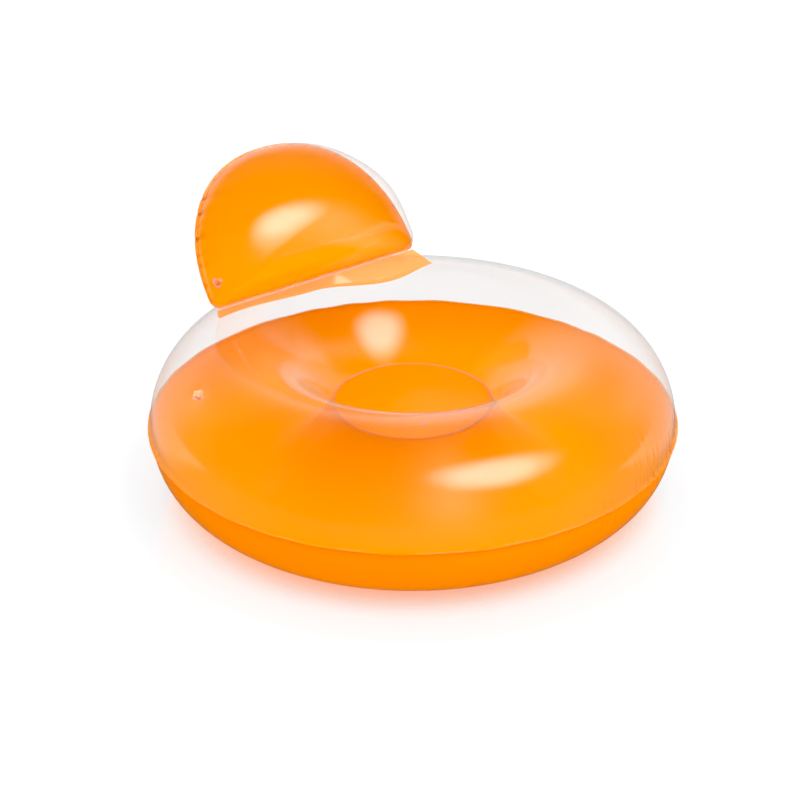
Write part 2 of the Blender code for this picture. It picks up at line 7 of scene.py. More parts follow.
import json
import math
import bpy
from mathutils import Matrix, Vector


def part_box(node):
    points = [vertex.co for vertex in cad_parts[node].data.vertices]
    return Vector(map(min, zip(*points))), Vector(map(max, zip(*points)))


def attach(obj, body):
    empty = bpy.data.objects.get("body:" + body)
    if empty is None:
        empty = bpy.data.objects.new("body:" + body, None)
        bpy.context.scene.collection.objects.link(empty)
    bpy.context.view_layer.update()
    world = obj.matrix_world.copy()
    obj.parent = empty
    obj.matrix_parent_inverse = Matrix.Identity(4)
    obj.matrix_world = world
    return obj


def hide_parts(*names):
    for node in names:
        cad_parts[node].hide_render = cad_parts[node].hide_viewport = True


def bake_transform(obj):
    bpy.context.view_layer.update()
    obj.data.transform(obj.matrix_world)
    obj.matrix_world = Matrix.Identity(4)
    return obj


bl_info = {
    "name": "Pool Lounger Films",
    "version": (1, 0, 0),
    "blender": (4, 5, 0),
    "location": "View3D > Sidebar > Lounger",
    "description": "Builds the films, valves and studio of an inflatable pool lounger",
    "category": "Object",
}

import bpy
import numpy as np
from bpy.props import FloatProperty, FloatVectorProperty, IntProperty, PointerProperty
from bpy.types import Operator, Panel, PropertyGroup
from mathutils import Matrix, Vector

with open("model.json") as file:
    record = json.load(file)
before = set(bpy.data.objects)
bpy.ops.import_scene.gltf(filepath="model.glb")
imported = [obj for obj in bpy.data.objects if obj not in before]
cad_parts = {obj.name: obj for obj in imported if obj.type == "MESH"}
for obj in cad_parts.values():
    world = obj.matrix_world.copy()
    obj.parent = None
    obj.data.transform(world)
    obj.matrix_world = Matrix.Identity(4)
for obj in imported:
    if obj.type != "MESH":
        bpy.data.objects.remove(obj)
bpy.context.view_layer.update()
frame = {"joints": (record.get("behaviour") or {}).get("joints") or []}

# Films and their welds
FILM = 0.0003
WELD_GAP = 0.0003
WELD_WIDTH = 0.006

# Places and sizes that the frame gives
RING_LOW, RING_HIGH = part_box("ring_top_film")
SEAT_LOW, SEAT_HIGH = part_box("seat_sheet")
DRAIN_LOW, DRAIN_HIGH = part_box("drain_ring")
SEAM_HEIGHT = RING_LOW.z - WELD_GAP / 2.0
SEAT_HEIGHT = (SEAT_LOW.z + SEAT_HIGH.z) / 2.0
JOINTS = {joint["name"]: joint for joint in frame["joints"]}

# Steps of the fine curves, and the angle from which an edge is sharp
SECTION_STEPS = 1200
SLOPE_TRIALS = 50
OUTLINE_STEPS = 1600
CORNER_STEPS = 60
SHARP_ANGLE = math.radians(40.0)

# The drain's hole and the gap to its ring, and how far a cutter reaches through a film
DRAIN_HOLE = 0.005
DRAIN_GAP = 0.0005
HOLE_REACH = 0.004
HOLE_SEGMENTS = 64

# Puckers: uneven steps, the low ridge beside each one, and its fade away from the weld
PLACE_JITTER = 0.36
RIDGE_SHARE = 0.35
RIDGE_WIDTH = 1.9
FADE_POWER = 1.3

# Least and greatest share of the depth, width and length of a pucker, and its strength away from the front
RING_PUCKERS = ((0.35, 1.0), (0.7, 1.3), (0.6, 1.4))
RING_CALM = 0.22
PILLOW_PUCKERS = ((0.3, 1.0), (0.7, 1.4), (0.6, 1.5))
PILLOW_CALM = 0.3
PILLOW_LEFT_SLOPE = 1.4

# How much closer the ring's columns stand at the puckers, and how far that reaches
CROWD_SHARE = 2.0
CROWD_WIDTH = 1.6

# Dent that starts to count as a fold, and reach of the seat weld's and of the pillow weld's hold on dents
FOLD_START = 0.25
SEAT_FREE = 0.03
WELD_NEAR = 0.012

# Heights and the two pitches of the seam's waves, the seat's folds and the flap's slack
SEAM_WAVE, SEAM_PITCHES = 0.0009, (46.0, 9.0)
SEAT_FOLD, SEAT_PITCHES = 0.0005, (23.0, 5.0)
FLAP_SLACK, FLAP_PITCHES = 0.0008, (90.0, 21.0)

# The seat's grid and where its folds lie
SEAT_ROWS, SEAT_COLUMNS = 56, 420
SEAT_ROW_POWER = 1.2
SEAT_FOLD_POWER = 6
SEAT_FOLD_END = 0.08
DRAIN_FREE = 0.03

# The flap's grid, and its top edge's place as shares of the hinge gap
FLAP_COLUMNS, FLAP_WELD_ROWS, FLAP_ROWS = 240, 6, 30
FLAP_TOP = (0.6, 0.8)
FLAP_MAP_HEIGHT = 0.05

# From how many softnesses over the ring a film counts as free of it
SOFT_LIMIT = 40.0

# Relief of a film in metres: fine ribs on its weld and long ripples
RIB_PITCH = 0.0024
RIB_HEIGHT = 0.00012
RIPPLE_SCALE = 9.0
RIPPLE_HEIGHT = 0.0006

# Tint of a film: cloudy patches and its weld, painted shade in its folds, and the extra body of a weld
CLOUD_SCALE = 6.0
CLOUD_TINT, WELD_TINT = 0.6, 0.4
FOLD_SHADE, WELD_SHADE = 0.9, 0.3
WELD_BODY = 0.15
HAZE_COLOUR = (0.90, 0.93, 0.96)
WHITE = (1.0, 1.0, 1.0, 1.0)

# Settings that give each tinted film its pale, deep and passing colours, its body, index and roughness
TINTS = {
    "orange_vinyl_film": (
        "orange", "orange_deep", "orange_through", "orange_body", "orange_index", "orange_roughness"
    ),
    "seat_vinyl_film": (
        "seat_orange", "seat_orange", "orange_through", "orange_body", "film_index", "seat_roughness"
    ),
    "flap_vinyl_film": (
        "flap_colour", "flap_colour", "flap_through", "flap_body", "film_index", "gloss_roughness"
    ),
}

# Moulded vinyl: its colour settings, scales of cloud and grain, the cloud's tint, and the satin surface
MOULDED = {"milky_moulded_vinyl": "milky", "drain_moulded_vinyl": "drain"}
MOULD_CLOUD, MOULD_GRAIN = 260.0, 2400.0
MOULD_WARMTH = (0.96, 0.90, 0.82)
MOULD_ROUGHNESS, MOULD_UNEVEN = 0.30, 0.12
MOULD_ALPHA = 0.50
GRAIN_HEIGHT = 0.00003

# Directions of the softbox, of its long side and of the low backdrop
KEY_DIRECTION = Vector((0.098, -0.611, 0.786))
KEY_LONG_AXIS = Vector((0.96, 0.02, -0.22))
BACKDROP_DIRECTION = Vector((0.616, 0.788, 0.0))

# Fades on the floor, in metres from its middle: the far floor painted bright in reflections, the mirror and its
# faint outer band
FAR_FADE = (0.65, 1.0)
MIRROR_FADE = (0.61, 0.48)
BAND_FADE, BAND_MIRROR = (0.80, 0.66), 0.09
BEHIND_FADE = (-0.2, 0.2)

# Fades of the backdrop to its sides and upwards, and of the softbox from its edge to its middle
BACKDROP_FADE = (0.30, 0.62)
HEIGHT_FADE = (0.70, 0.34)
SOFTBOX_FADE = (1.0, 0.25)
WORLD_WHITE = 1.05
FILL_ANGLE = math.radians(130.0)

# Camera, and how many surfaces light may cross or leave
SENSOR_WIDTH = 36.0
CLIP_END = 100.0
CLEAR_BOUNCES, BOUNCES = 40, 16

# Shares of a valve's forms: the cap's dish, the plug's and the strap's rounding, and a plate's soft edge
CAP_DISH = (0.62, 0.74)
PLUG_EDGE = 1.6
STRAP_ROUNDING = 0.7
STRAP_STEPS = 7
PLATE_SOFT = 0.45


def length(name, description, default):
    """A length that the user can set."""
    return FloatProperty(name=name, description=description, default=default, unit="LENGTH", precision=5)


def share(name, description, default):
    """A share from 0 to 1 that the user can set."""
    return FloatProperty(name=name, description=description, default=default, subtype="FACTOR")


def number(name, description, default):
    """A plain number that the user can set."""
    return FloatProperty(name=name, description=description, default=default)


def count(name, description, default):
    """A whole number that the user can set."""
    return IntProperty(name=name, description=description, default=default, min=1)


def angle(name, description, degrees):
    """An angle that the user can set."""
    return FloatProperty(name=name, description=description, default=math.radians(degrees), subtype="ANGLE")


def colour(name, description, default):
    """A colour that the user can set."""
    return FloatVectorProperty(name=name, description=description, default=default, subtype="COLOR", size=3)


class RingSizes(PropertyGroup):
    """Sizes of the ring and its seat."""

    seam_radius: length("Seam radius", "Radius of the outer weld", RING_HIGH.x - WELD_WIDTH)
    seat_radius: length("Seat radius", "Radius of the seat weld", SEAT_HIGH.x)
    top_bulge: length("Top bulge", "Height of the top film over its welds", 0.183)
    bottom_bulge: length("Bottom bulge", "Depth of the bottom film under its welds", 0.178)
    foot_depth: length("Foot depth", "How much the floor flattens the bottom film", 0.0005)
    rows: count("Rows", "Rows of faces from the seat weld to the seam", 54)
    columns: count("Columns", "Columns of faces round the ring", 840)
    puckers: count("Puckers", "Puckers along the seam", 132)
    pucker_depth: length("Pucker depth", "Deepest dent of a pucker", 0.0046)
    pucker_width: length("Pucker width", "Half width of a pucker at the seam", 0.0030)
    pucker_length: length("Pucker length", "How far a pucker runs in from the seam", 0.045)
    pucker_front: angle("Pucker front", "Where the puckers are deepest", -58.0)
    pucker_spread: angle("Pucker spread", "How far round the deep puckers reach on each side", 34.0)
    seat_sag: length("Seat sag", "How far the seat sheet hangs in its middle", 0.004)
    seed: count("Seed", "Seed of the puckers", 7)


class PillowSizes(PropertyGroup):
    """Sizes of the pillow and its flap."""

    width: length("Width", "Width between the side welds", 0.587)
    height: length("Height", "Height from the straight edge to the top weld", 0.338)
    front_bulge: length("Front bulge", "Depth of the front film", 0.140)
    back_bulge: length("Back bulge", "Depth of the back film", 0.107)
    corner: length("Corner radius", "Radius of the two lower corners", 0.022)
    stretch: share("Stretch", "How freely the films stretch, which rounds their crown", 0.7)
    lean: angle("Lean", "How far the pillow leans back", 38.5)
    outline_power: number("Outline power", "Power of the half-moon outline", 2.18)
    centre_share: share("Crown height", "Height of the crown as a share", 0.44)
    oval_share: share("Crown size", "Half height of the crown's oval as a share", 0.47)
    crown_across: length("Crown across", "How far to the right the front film's crown lies", 0.030)
    crown_drop: length("Crown drop", "How far the front film's crown lies below the middle", 0.020)
    rest_clearance: length("Rest clearance", "Gap of the back film over the ring", 0.0027)
    rest_softness: length("Rest softness", "How softly the back film bends on to the ring", 0.004)
    rows: count("Rows", "Rows of faces from the crown to the weld", 62)
    columns: count("Columns", "Columns of faces round the pillow", 420)
    puckers: count("Puckers", "Puckers along the weld", 46)
    pucker_depth: length("Pucker depth", "Deepest dent of a pucker", 0.0030)
    pucker_width: length("Pucker width", "Half width of a pucker at the weld", 0.0050)
    pucker_length: length("Pucker length", "How far a pucker runs in from the weld", 0.024)
    hinge_gap: length("Hinge gap", "Gap between the pillow and its flap", 0.00045)
    flap_short: length("Flap short side", "How far ahead of the pillow's weld the foot is on the left", 0.006)
    flap_long: length("Flap long side", "How far ahead of the pillow's weld the foot is on the right", 0.0735)
    flap_turn_start: length("Flap turn start", "Where the foot starts to run ahead", -0.020)
    flap_turn_end: length("Flap turn end", "Where the foot is fully ahead", 0.220)
    flap_margin: length("Flap margin", "Width of the flap's weld", 0.010)
    flap_inset: length("Flap inset", "How much narrower than the pillow the flap is", 0.004)
    flap_clearance: length("Flap clearance", "Gap of the flap over the ring", 0.0009)
    seed: count("Seed", "Seed of the puckers", 11)


class ValveSizes(PropertyGroup):
    """Sizes of one push-in valve."""

    base_radius: length("Base radius", "Radius of the welded flange", 0.0140)
    base_thickness: length("Base thickness", "Thickness of the welded flange", 0.0008)
    gap: length("Gap", "Gap between seated pieces", 0.0003)
    slide: length("Slide clearance", "Gap round the sliding stem", 0.0004)
    stem_radius: length("Stem radius", "Outer radius of the stem", 0.0065)
    stem_length: length("Stem length", "Length of the stem below its lip", 0.0150)
    bore_radius: length("Bore radius", "Radius of the stem's bore", 0.0043)
    lip_radius: length("Lip radius", "Radius of the stem's lip", 0.0090)
    lip_thickness: length("Lip thickness", "Thickness of the stem's lip", 0.0014)
    mouth_chamfer: length("Mouth chamfer", "Chamfer of the stem's mouth", 0.0006)
    plug_clearance: length("Plug clearance", "Gap round the plug's stopper", 0.0003)
    plug_length: length("Plug length", "Length of the plug's stopper", 0.0080)
    plug_taper: length("Plug taper", "How much the stopper narrows", 0.0006)
    cap_radius: length("Cap radius", "Radius of the plug's cap", 0.0078)
    cap_thickness: length("Cap thickness", "Thickness of the plug's cap", 0.0018)
    tab_length: length("Tab length", "Reach of the finger tab", 0.0060)
    tab_width: length("Tab width", "Width of the finger tab", 0.0060)
    tab_thickness: length("Tab thickness", "Thickness of the finger tab", 0.0009)
    strap_width: length("Strap width", "Width of the strap", 0.0045)
    strap_thickness: length("Strap thickness", "Thickness of the strap", 0.0009)
    strap_reach: length("Strap reach", "Reach of the strap past the lip", 0.0070)
    check_radius: length("Check flap radius", "Radius of the check flap", 0.0054)
    check_thickness: length("Check flap thickness", "Thickness of the check flap", 0.0005)
    check_ear: length("Check flap ear", "Width of the check flap's hinge", 0.0050)
    flat_radius: length("Flat radius", "Radius of the film that the flange holds flat", 0.0160)
    flat_blend: length("Flat blend", "Where the film is free of the flange", 0.0380)
    edge: length("Edge radius", "Rounding of moulded edges", 0.00025)
    segments: count("Segments", "Segments round a moulding", 64)


class FinishSettings(PropertyGroup):
    """Colours and gloss of the vinyl, and the painted shade of its folds."""

    orange: colour("Orange", "Colour that the orange film scatters", (1.0, 0.52, 0.0))
    orange_deep: colour("Deep orange", "Colour of the denser patches of the orange film", (1.0, 0.47, 0.0))
    seat_orange: colour("Seat orange", "Colour that the seat sheet scatters", (1.0, 0.39, 0.01))
    orange_through: colour("Orange light", "Colour of light that passes the orange film", (1.0, 0.6, 0.02))
    orange_body: share("Orange body", "Share of light that each face of the orange film scatters", 0.68)
    flap_colour: colour("Flap colour", "Colour that the flap scatters", (1.0, 0.64, 0.25))
    flap_through: colour("Flap light", "Colour of light that passes the flap", (1.0, 0.74, 0.46))
    flap_body: share("Flap body", "Share of light that each face of the flap scatters", 0.34)
    clear_through: colour("Clear light", "Colour of light that passes the clear film", (0.978, 0.980, 0.980))
    clear_edge: colour("Clear edge", "Colour of light that passes the edge of the clear film", (0.90, 0.918, 0.92))
    edge_mirror: share("Edge mirror", "Share of light that a face mirrors at its edge", 0.55)
    # Painted shade: the two fold colours below darken the films' puckers
    fold_shade_through: colour("Fold light", "Light that passes a fold of the clear film", (0.78, 0.58, 0.44))
    fold_shade_colour: colour("Fold colour", "Colour that a fold of the orange film scatters", (0.72, 0.20, 0.0))
    clear_haze: share("Clear haze", "Share of light that each face of the clear film scatters", 0.002)
    edge_haze: share("Edge haze", "Share of light that the clear film scatters at its edge", 0.036)
    milky: colour("Milky vinyl", "Colour of the moulded valves", (1.0, 0.50, 0.28))
    # The drain ring is darker than the valves: its colour carries painted shade from the hollow under the seat
    drain: colour("Drain vinyl", "Colour of the ring round the drain", (0.72, 0.31, 0.15))
    gloss_roughness: share("Gloss roughness", "Roughness of the clear film's gloss", 0.12)
    orange_index: number("Orange index", "Refractive index of the orange film against the air", 1.41)
    orange_roughness: share("Orange roughness", "Roughness of the orange film's gloss", 0.36)
    seat_roughness: share("Seat roughness", "Roughness of the seat sheet's gloss", 0.10)
    film_index: number("Film index", "Refractive index of the vinyl", 1.5)


class StudioSettings(PropertyGroup):
    """Camera, lights and floor of the studio."""

    distance: length("Camera distance", "From the middle of the seam to the camera", 4.1555)
    lens: number("Lens", "Focal length on a 36 mm sensor, in millimetres", 80.32)
    azimuth: angle("Azimuth", "Direction that the camera looks from", -38.2)
    elevation: angle("Elevation", "Height of the camera over the horizon", 28.47)
    roll: angle("Roll", "Turn of the picture", -0.35)
    aim_right: length("Aim right", "How far right of the seam's middle the camera aims", -0.0290)
    aim_up: length("Aim up", "How far above the seam's middle the camera aims", 0.0256)
    floor_size: length("Floor size", "Side of the floor", 60.0)
    floor_gap: length("Floor gap", "How far the floor lies under the ring", 0.0003)
    floor_colour: colour("Floor colour", "Colour of the floor", (0.14, 0.158, 0.17))
    floor_glow: number("Floor glow", "How bright the floor glows by itself in the picture", 0.77)
    floor_bounce: number("Floor bounce", "How bright the floor glows by itself on the object", 0.52)
    # Painted reflection: in reflections the floor is an emission, dim near the object for its shade and bright far
    # off
    painted_near_floor_gloss: number("Floor in the gloss", "How bright the near floor is in reflections", 0.10)
    painted_far_floor_gloss: number("Far floor in the gloss", "How bright the far floor is in reflections", 0.72)
    floor_mirror: share("Floor mirror", "Share of light that the floor mirrors beside the object", 0.55)
    floor_roughness: share("Floor roughness", "Roughness of the floor's mirror", 0.10)
    key_radiance: number("Key light", "Brightness of the softbox", 5.6)
    key_width: number("Key width", "Half width of the softbox as a share of its distance", 0.50)
    key_height: number("Key height", "Half height of the softbox as a share of its distance", 0.42)
    light_distance: length("Light distance", "How far away the softbox hangs", 20.0)
    fill_strength: number("Fill light", "Strength of the overhead fill", 5.75)
    backdrop: number("Backdrop", "Brightness of the low backdrop in reflections", 0.80)
    surround: number("Surround", "Brightness of the rest of the studio", 0.03)
    black_level: number("Black level", "Brightness that the picture shows as black", 0.028)


class Signal:
    """A number that a node puts out. Arithmetic on it adds Math nodes to the same tree."""

    def __init__(self, finish, socket):
        self.finish = finish
        self.socket = socket

    def math(self, operation, first, second=0.0):
        """One Math node."""
        return self.finish.node("ShaderNodeMath", {"operation": operation}, {0: first, 1: second})

    def __add__(self, other):
        return self.math("ADD", self, other)

    __radd__ = __add__

    def __sub__(self, other):
        return self.math("SUBTRACT", self, other)

    def __rsub__(self, other):
        return self.math("SUBTRACT", other, self)

    def __mul__(self, other):
        return self.math("MULTIPLY", self, other)

    __rmul__ = __mul__

    def sine(self):
        """Sine of the number, in radians."""
        return self.math("SINE", self)

    def root(self):
        """Square root of the number."""
        return self.math("SQRT", self)

    def part(self, output):
        """Another output of the node that this number comes from."""
        return Signal(self.finish, self.socket.node.outputs[output])


class Finish:
    """A node tree while it is written."""

    def __init__(self, tree):
        self.tree = tree
        tree.nodes.clear()

    def node(self, kind, settings=None, sockets=None, output=0):
        """Add a node: its settings first, then the values or links of its sockets."""
        made = self.tree.nodes.new(kind)
        for name, value in (settings or {}).items():
            setattr(made, name, value)
        for name, value in (sockets or {}).items():
            if isinstance(value, Signal):
                self.tree.links.new(value.socket, made.inputs[name])
            else:
                made.inputs[name].default_value = value
        return Signal(self, made.outputs[output]) if made.outputs else None

    def dot(self, direction, vector):
        """Dot product of a vector signal with a fixed vector."""
        sockets = {0: direction, 1: vector}
        return self.node("ShaderNodeVectorMath", {"operation": "DOT_PRODUCT"}, sockets, "Value")

    def rise(self, value, low, high, start=0.0, end=1.0):
        """Smooth step from start at low to end at high."""
        sockets = {"Value": value, "From Min": low, "From Max": high, "To Min": start, "To Max": end}
        return self.node("ShaderNodeMapRange", {"interpolation_type": "SMOOTHSTEP"}, sockets)

    def noise(self, scale, detail):
        """Cloudy noise on the object's own coordinates, from 0 to 1."""
        place = self.node("ShaderNodeTexCoord", output="Object")
        return self.node("ShaderNodeTexNoise", {}, {"Vector": place, "Scale": scale, "Detail": detail})

    def mix_colours(self, factor, first, second):
        """Blend of two colours: factor 0 gives the first."""
        return self.node("ShaderNodeMix", {"data_type": "RGBA"}, {0: factor, 6: first, 7: second}, 2)

    def mix_shaders(self, factor, first, second):
        """Blend of two shaders: factor 0 gives the first."""
        return self.node("ShaderNodeMixShader", {}, {0: factor, 1: first, 2: second})

    def edge_share(self, normal, power):
        """A number that is 0 face on and 1 edge on, raised to a power, the same from both sides."""
        edge = self.node("ShaderNodeLayerWeight", {}, {"Blend": 0.5, "Normal": normal}, "Facing")
        return self.node("ShaderNodeMath", {"operation": "POWER"}, {0: edge, 1: power})

    def mirror_share(self, index, most, normal):
        """Share of light that a face mirrors: F + (most - F) e^5, where e is 0 face on and 1 edge on, and F
        follows from the refractive index."""
        front = ((index - 1.0) / (index + 1.0)) ** 2
        return self.edge_share(normal, 5) * (most - front) + front

    def bump(self, height):
        """Normal of a relief whose height is in metres."""
        return self.node("ShaderNodeBump", {}, {"Strength": 1.0, "Distance": 1.0, "Height": height})

    def plain(self, kind, rgb):
        """A shader with nothing but a colour."""
        return self.node("ShaderNodeBsdf" + kind, {}, {"Color": opaque(rgb)})

    def weld(self):
        """Distance along the weld, from the piece's own map. Its part 1 is the distance in from the weld."""
        place = self.node("ShaderNodeUVMap", {"uv_map": "weld_map"})
        return self.node("ShaderNodeSeparateXYZ", {}, {0: place})

    def weld_band(self):
        """1 on the weld's flat margin and 0 on the free film."""
        return self.rise(self.weld().part(1), -WELD_WIDTH * 0.2, WELD_WIDTH * 0.4, 1.0, 0.0)

    def fold_depth(self):
        """Depth of the folds, from 0 to 1, from the piece's own attribute."""
        return self.node("ShaderNodeAttribute", {"attribute_name": "fold_depth"}, output="Fac")

    def surface(self, shader):
        """Send a shader to the material's output."""
        self.node("ShaderNodeOutputMaterial", {}, {"Surface": shader})

    def film(self, body, normal, index, most, roughness):
        """Send a film to the material's output: its body under a white mirror layer."""
        mirror = self.mirror_share(index, most, normal)
        sockets = {"Color": WHITE, "Roughness": roughness, "Normal": normal}
        gloss = self.node("ShaderNodeBsdfAnisotropic", {}, sockets)
        self.surface(self.mix_shaders(mirror, body, gloss))


def new_finish(name):
    """An empty material and the tree that is written into it."""
    material = bpy.data.materials.new(name)
    material.use_nodes = True
    return material, Finish(material.node_tree)


def opaque(rgb):
    """A colour with full alpha."""
    return (*rgb[:3], 1.0)


def film_relief(finish):
    """Normal of a film: long faint ripples, and the fine ribs that the welding bar presses in."""
    ribs = (finish.weld() * (math.tau / RIB_PITCH)).sine() * finish.weld_band() * RIB_HEIGHT
    return finish.bump(ribs + finish.noise(RIPPLE_SCALE, 1.0) * RIPPLE_HEIGHT)


def clear_vinyl(settings, name):
    """Clear film: light passes and a little is scattered. Towards the edge of the form the gloss grows, and
    so does the length of vinyl that the light crosses, which tints and clouds it there. Folds darken the
    light that passes them: painted shade."""
    material, finish = new_finish(name)
    normal = film_relief(finish)
    weld = finish.weld_band()
    haze = finish.edge_share(normal, 2) * (1.0 - weld) * settings.edge_haze + settings.clear_haze
    open_film, edge_film, painted_fold_shade = [
        finish.plain("Transparent", rgb)
        for rgb in (settings.clear_through, settings.clear_edge, settings.fold_shade_through)
    ]
    passing = finish.mix_shaders(finish.edge_share(normal, 3), open_film, edge_film)
    # Painted shade: the folds pass darker light
    passing = finish.mix_shaders(finish.fold_depth() * FOLD_SHADE, passing, painted_fold_shade)
    body = finish.mix_shaders(haze, passing, finish.plain("Diffuse", HAZE_COLOUR))
    finish.film(body, normal, settings.film_index, settings.edge_mirror, settings.gloss_roughness)
    return material


def tinted_vinyl(settings, name):
    """Tinted film: part of the light passes coloured, the rest is scattered to both sides, under a gloss. Its
    welds are deeper in colour, and its folds are darkened with painted shade."""
    pale, deep, through, density, index, roughness = [getattr(settings, key) for key in TINTS[name]]
    material, finish = new_finish(name)
    normal = film_relief(finish)
    weld = finish.weld_band()
    patches = finish.noise(CLOUD_SCALE, 3.0) * CLOUD_TINT + weld * WELD_TINT
    tint = finish.mix_colours(patches, opaque(pale), opaque(deep))
    # Painted shade in the folds, together with the weld's own deeper colour
    fold_shade_and_weld = finish.fold_depth() * FOLD_SHADE + weld * WELD_SHADE
    tint = finish.mix_colours(fold_shade_and_weld, tint, opaque(settings.fold_shade_colour))
    facing = finish.node("ShaderNodeBsdfPrincipled", {}, {"Base Color": tint, "Specular IOR Level": 0.0})
    scattered = finish.mix_shaders(0.5, facing, finish.plain("Translucent", pale))
    body = finish.mix_shaders(weld * WELD_BODY + density, finish.plain("Transparent", through), scattered)
    finish.film(body, normal, index, settings.edge_mirror, roughness)
    return material


def moulded_vinyl(settings, name):
    """Soft moulded vinyl: milky, satin, and slightly uneven."""
    pale = getattr(settings, MOULDED[name])
    material, finish = new_finish(name)
    cloud = finish.noise(MOULD_CLOUD, 3.0)
    warm = [channel * warmth for channel, warmth in zip(pale, MOULD_WARMTH)]
    sockets = {
        "Base Color": finish.mix_colours(cloud, opaque(pale), opaque(warm)),
        "Roughness": cloud * MOULD_UNEVEN + MOULD_ROUGHNESS,
        "Alpha": MOULD_ALPHA,
        "Normal": finish.bump(finish.noise(MOULD_GRAIN, 2.0) * GRAIN_HEIGHT),
    }
    finish.surface(finish.node("ShaderNodeBsdfPrincipled", {}, sockets))
    return material


def vinyl(scene, maker, name):
    """The vinyl of a name, made on its first use."""
    return bpy.data.materials.get(name) or maker(scene.lounger_finish, name)


def strip(first, second):
    """Quads between two lines of points."""
    return np.stack([first[:-1], first[1:], second[1:], second[:-1]], axis=-1)


def grid_quads(spots):
    """Quads of a grid, whose faces look along the cross product of its rows' and columns' directions."""
    corners = [spots[:-1, :-1], spots[1:, :-1], spots[1:, 1:], spots[:-1, 1:]]
    return np.stack(corners, axis=-1).reshape(-1, 4)


def fan(tip, rim):
    """Triangles from a pole to a line of points."""
    return np.stack([np.full(len(rim) - 1, tip), rim[:-1], rim[1:]], axis=-1)


def add_piece(name, points, faces, material, weld_map=None, folds=None):
    """Make a mesh object from points and arrays of faces, shaded smooth up to its sharp edges."""
    mesh = bpy.data.meshes.new(name)
    rows = [row for block in faces for row in block[0].tolist()]
    mesh.from_pydata(points.tolist(), [], rows)
    if weld_map is not None:
        layer = mesh.uv_layers.new(name="weld_map")
        corners = np.concatenate([block[1].ravel() for block in faces])
        layer.data.foreach_set("uv", weld_map[corners].astype(np.float32).ravel())
    if folds is not None:
        attribute = mesh.attributes.new("fold_depth", "FLOAT", "POINT")
        attribute.data.foreach_set("value", folds.astype(np.float32))
    mesh.validate()
    mesh.shade_smooth()
    mesh.set_sharp_from_angle(angle=SHARP_ANGLE)
    mesh.materials.append(material)
    piece = bpy.data.objects.new(name, mesh)
    bpy.context.scene.collection.objects.link(piece)
    return piece


def grid_normals(points, wrap):
    """Unit normals of a grid: the cross product of its differences down the rows and across the columns."""
    along = np.gradient(points, axis=0)
    if wrap:
        across = np.roll(points, -1, axis=1) - np.roll(points, 1, axis=1)
    else:
        across = np.gradient(points, axis=1)
    normals = np.cross(along, across)
    return normals / np.linalg.norm(normals, axis=2)[..., None]


def film_piece(name, outer, weld_map, material, wrap=True, tip=None, folds=None):
    """Closed thin shell behind a grid of points.

    The grid's faces look along rows times columns, and the second skin lies a film's thickness behind it.
    A tip closes the first row with a fan on both skins. With wrap, the last column meets the first, and the
    map has one more column than the grid, so that its pattern has no jump there. The depth of the folds, as
    shares, is kept as an attribute for the finish.
    """
    rows, columns = outer.shape[:2]
    inner = outer - grid_normals(outer, wrap) * FILM
    spread = columns + 1 if wrap else columns
    spots = np.arange(rows * spread).reshape(rows, spread)
    behind = spots + spots.size
    blocks = [grid_quads(spots), grid_quads(behind)[:, ::-1], strip(spots[-1, ::-1], behind[-1, ::-1])]
    if not wrap:
        blocks += [strip(spots[::-1, 0], behind[::-1, 0]), strip(spots[:, -1], behind[:, -1])]
    points = np.concatenate([outer.reshape(-1, 3), inner.reshape(-1, 3)])
    row = np.arange(2 * rows)[:, None] * columns
    join = (row + np.arange(spread)[None, :] % columns).ravel()
    maps = np.concatenate([weld_map.reshape(-1, 2)] * 2)
    folds = np.zeros((rows, columns)) if folds is None else folds
    folds = np.concatenate([folds.ravel()] * 2)
    if tip is None:
        blocks.append(strip(spots[0], behind[0]))
    else:
        poles = np.array([tip[0], tip[0] - tip[1] * FILM])
        points = np.concatenate([points, poles])
        folds = np.concatenate([folds, [0.0, 0.0]])
        join = np.concatenate([join, [len(points) - 2, len(points) - 1]])
        maps = np.concatenate([maps, weld_map[:1, 0], weld_map[:1, 0]])
        blocks += [fan(2 * spots.size, spots[0]), fan(2 * spots.size + 1, behind[0])[:, ::-1]]
    return add_piece(name, points, [(join[block], block) for block in blocks], material, maps, folds)


def running_integral(rate, place):
    """Integral of a rate from the first place up to each one, by the trapezoid rule."""
    return np.concatenate([[0.0], np.cumsum((rate[1:] + rate[:-1]) / 2.0 * np.diff(place))])


def bulge_section(inner, outer, inner_sine):
    """Radii and heights of an inflated film between two circles.

    The sine of the film's slope falls with the square of the radius, from inner_sine at the inner circle to
    -1 at the outer one, where the film stands upright on its weld.
    """
    turn = np.linspace(0.0, math.pi / 2.0, SECTION_STEPS)
    radius = inner + (outer - inner) * np.sin(turn)
    fall = (radius**2 - inner**2) / (outer**2 - inner**2)
    sine = inner_sine - (1.0 + inner_sine) * fall
    cosine = np.sqrt(np.clip(1.0 - sine**2, 0.0, None))
    rate = np.empty_like(turn)
    rate[:-1] = sine[:-1] / cosine[:-1] * (outer - inner) * np.cos(turn[:-1])
    rate[-1] = rate[-2]
    return radius, running_integral(rate, turn)


def level_sine(inner, outer):
    """Sine of the slope at the inner circle for which the film ends level with where it starts."""
    low = 0.0
    high = 1.0 - 1.0 / SECTION_STEPS
    for _ in range(SLOPE_TRIALS):
        middle = (low + high) / 2.0
        if bulge_section(inner, outer, middle)[1][-1] > 0.0:
            high = middle
        else:
            low = middle
    return (low + high) / 2.0


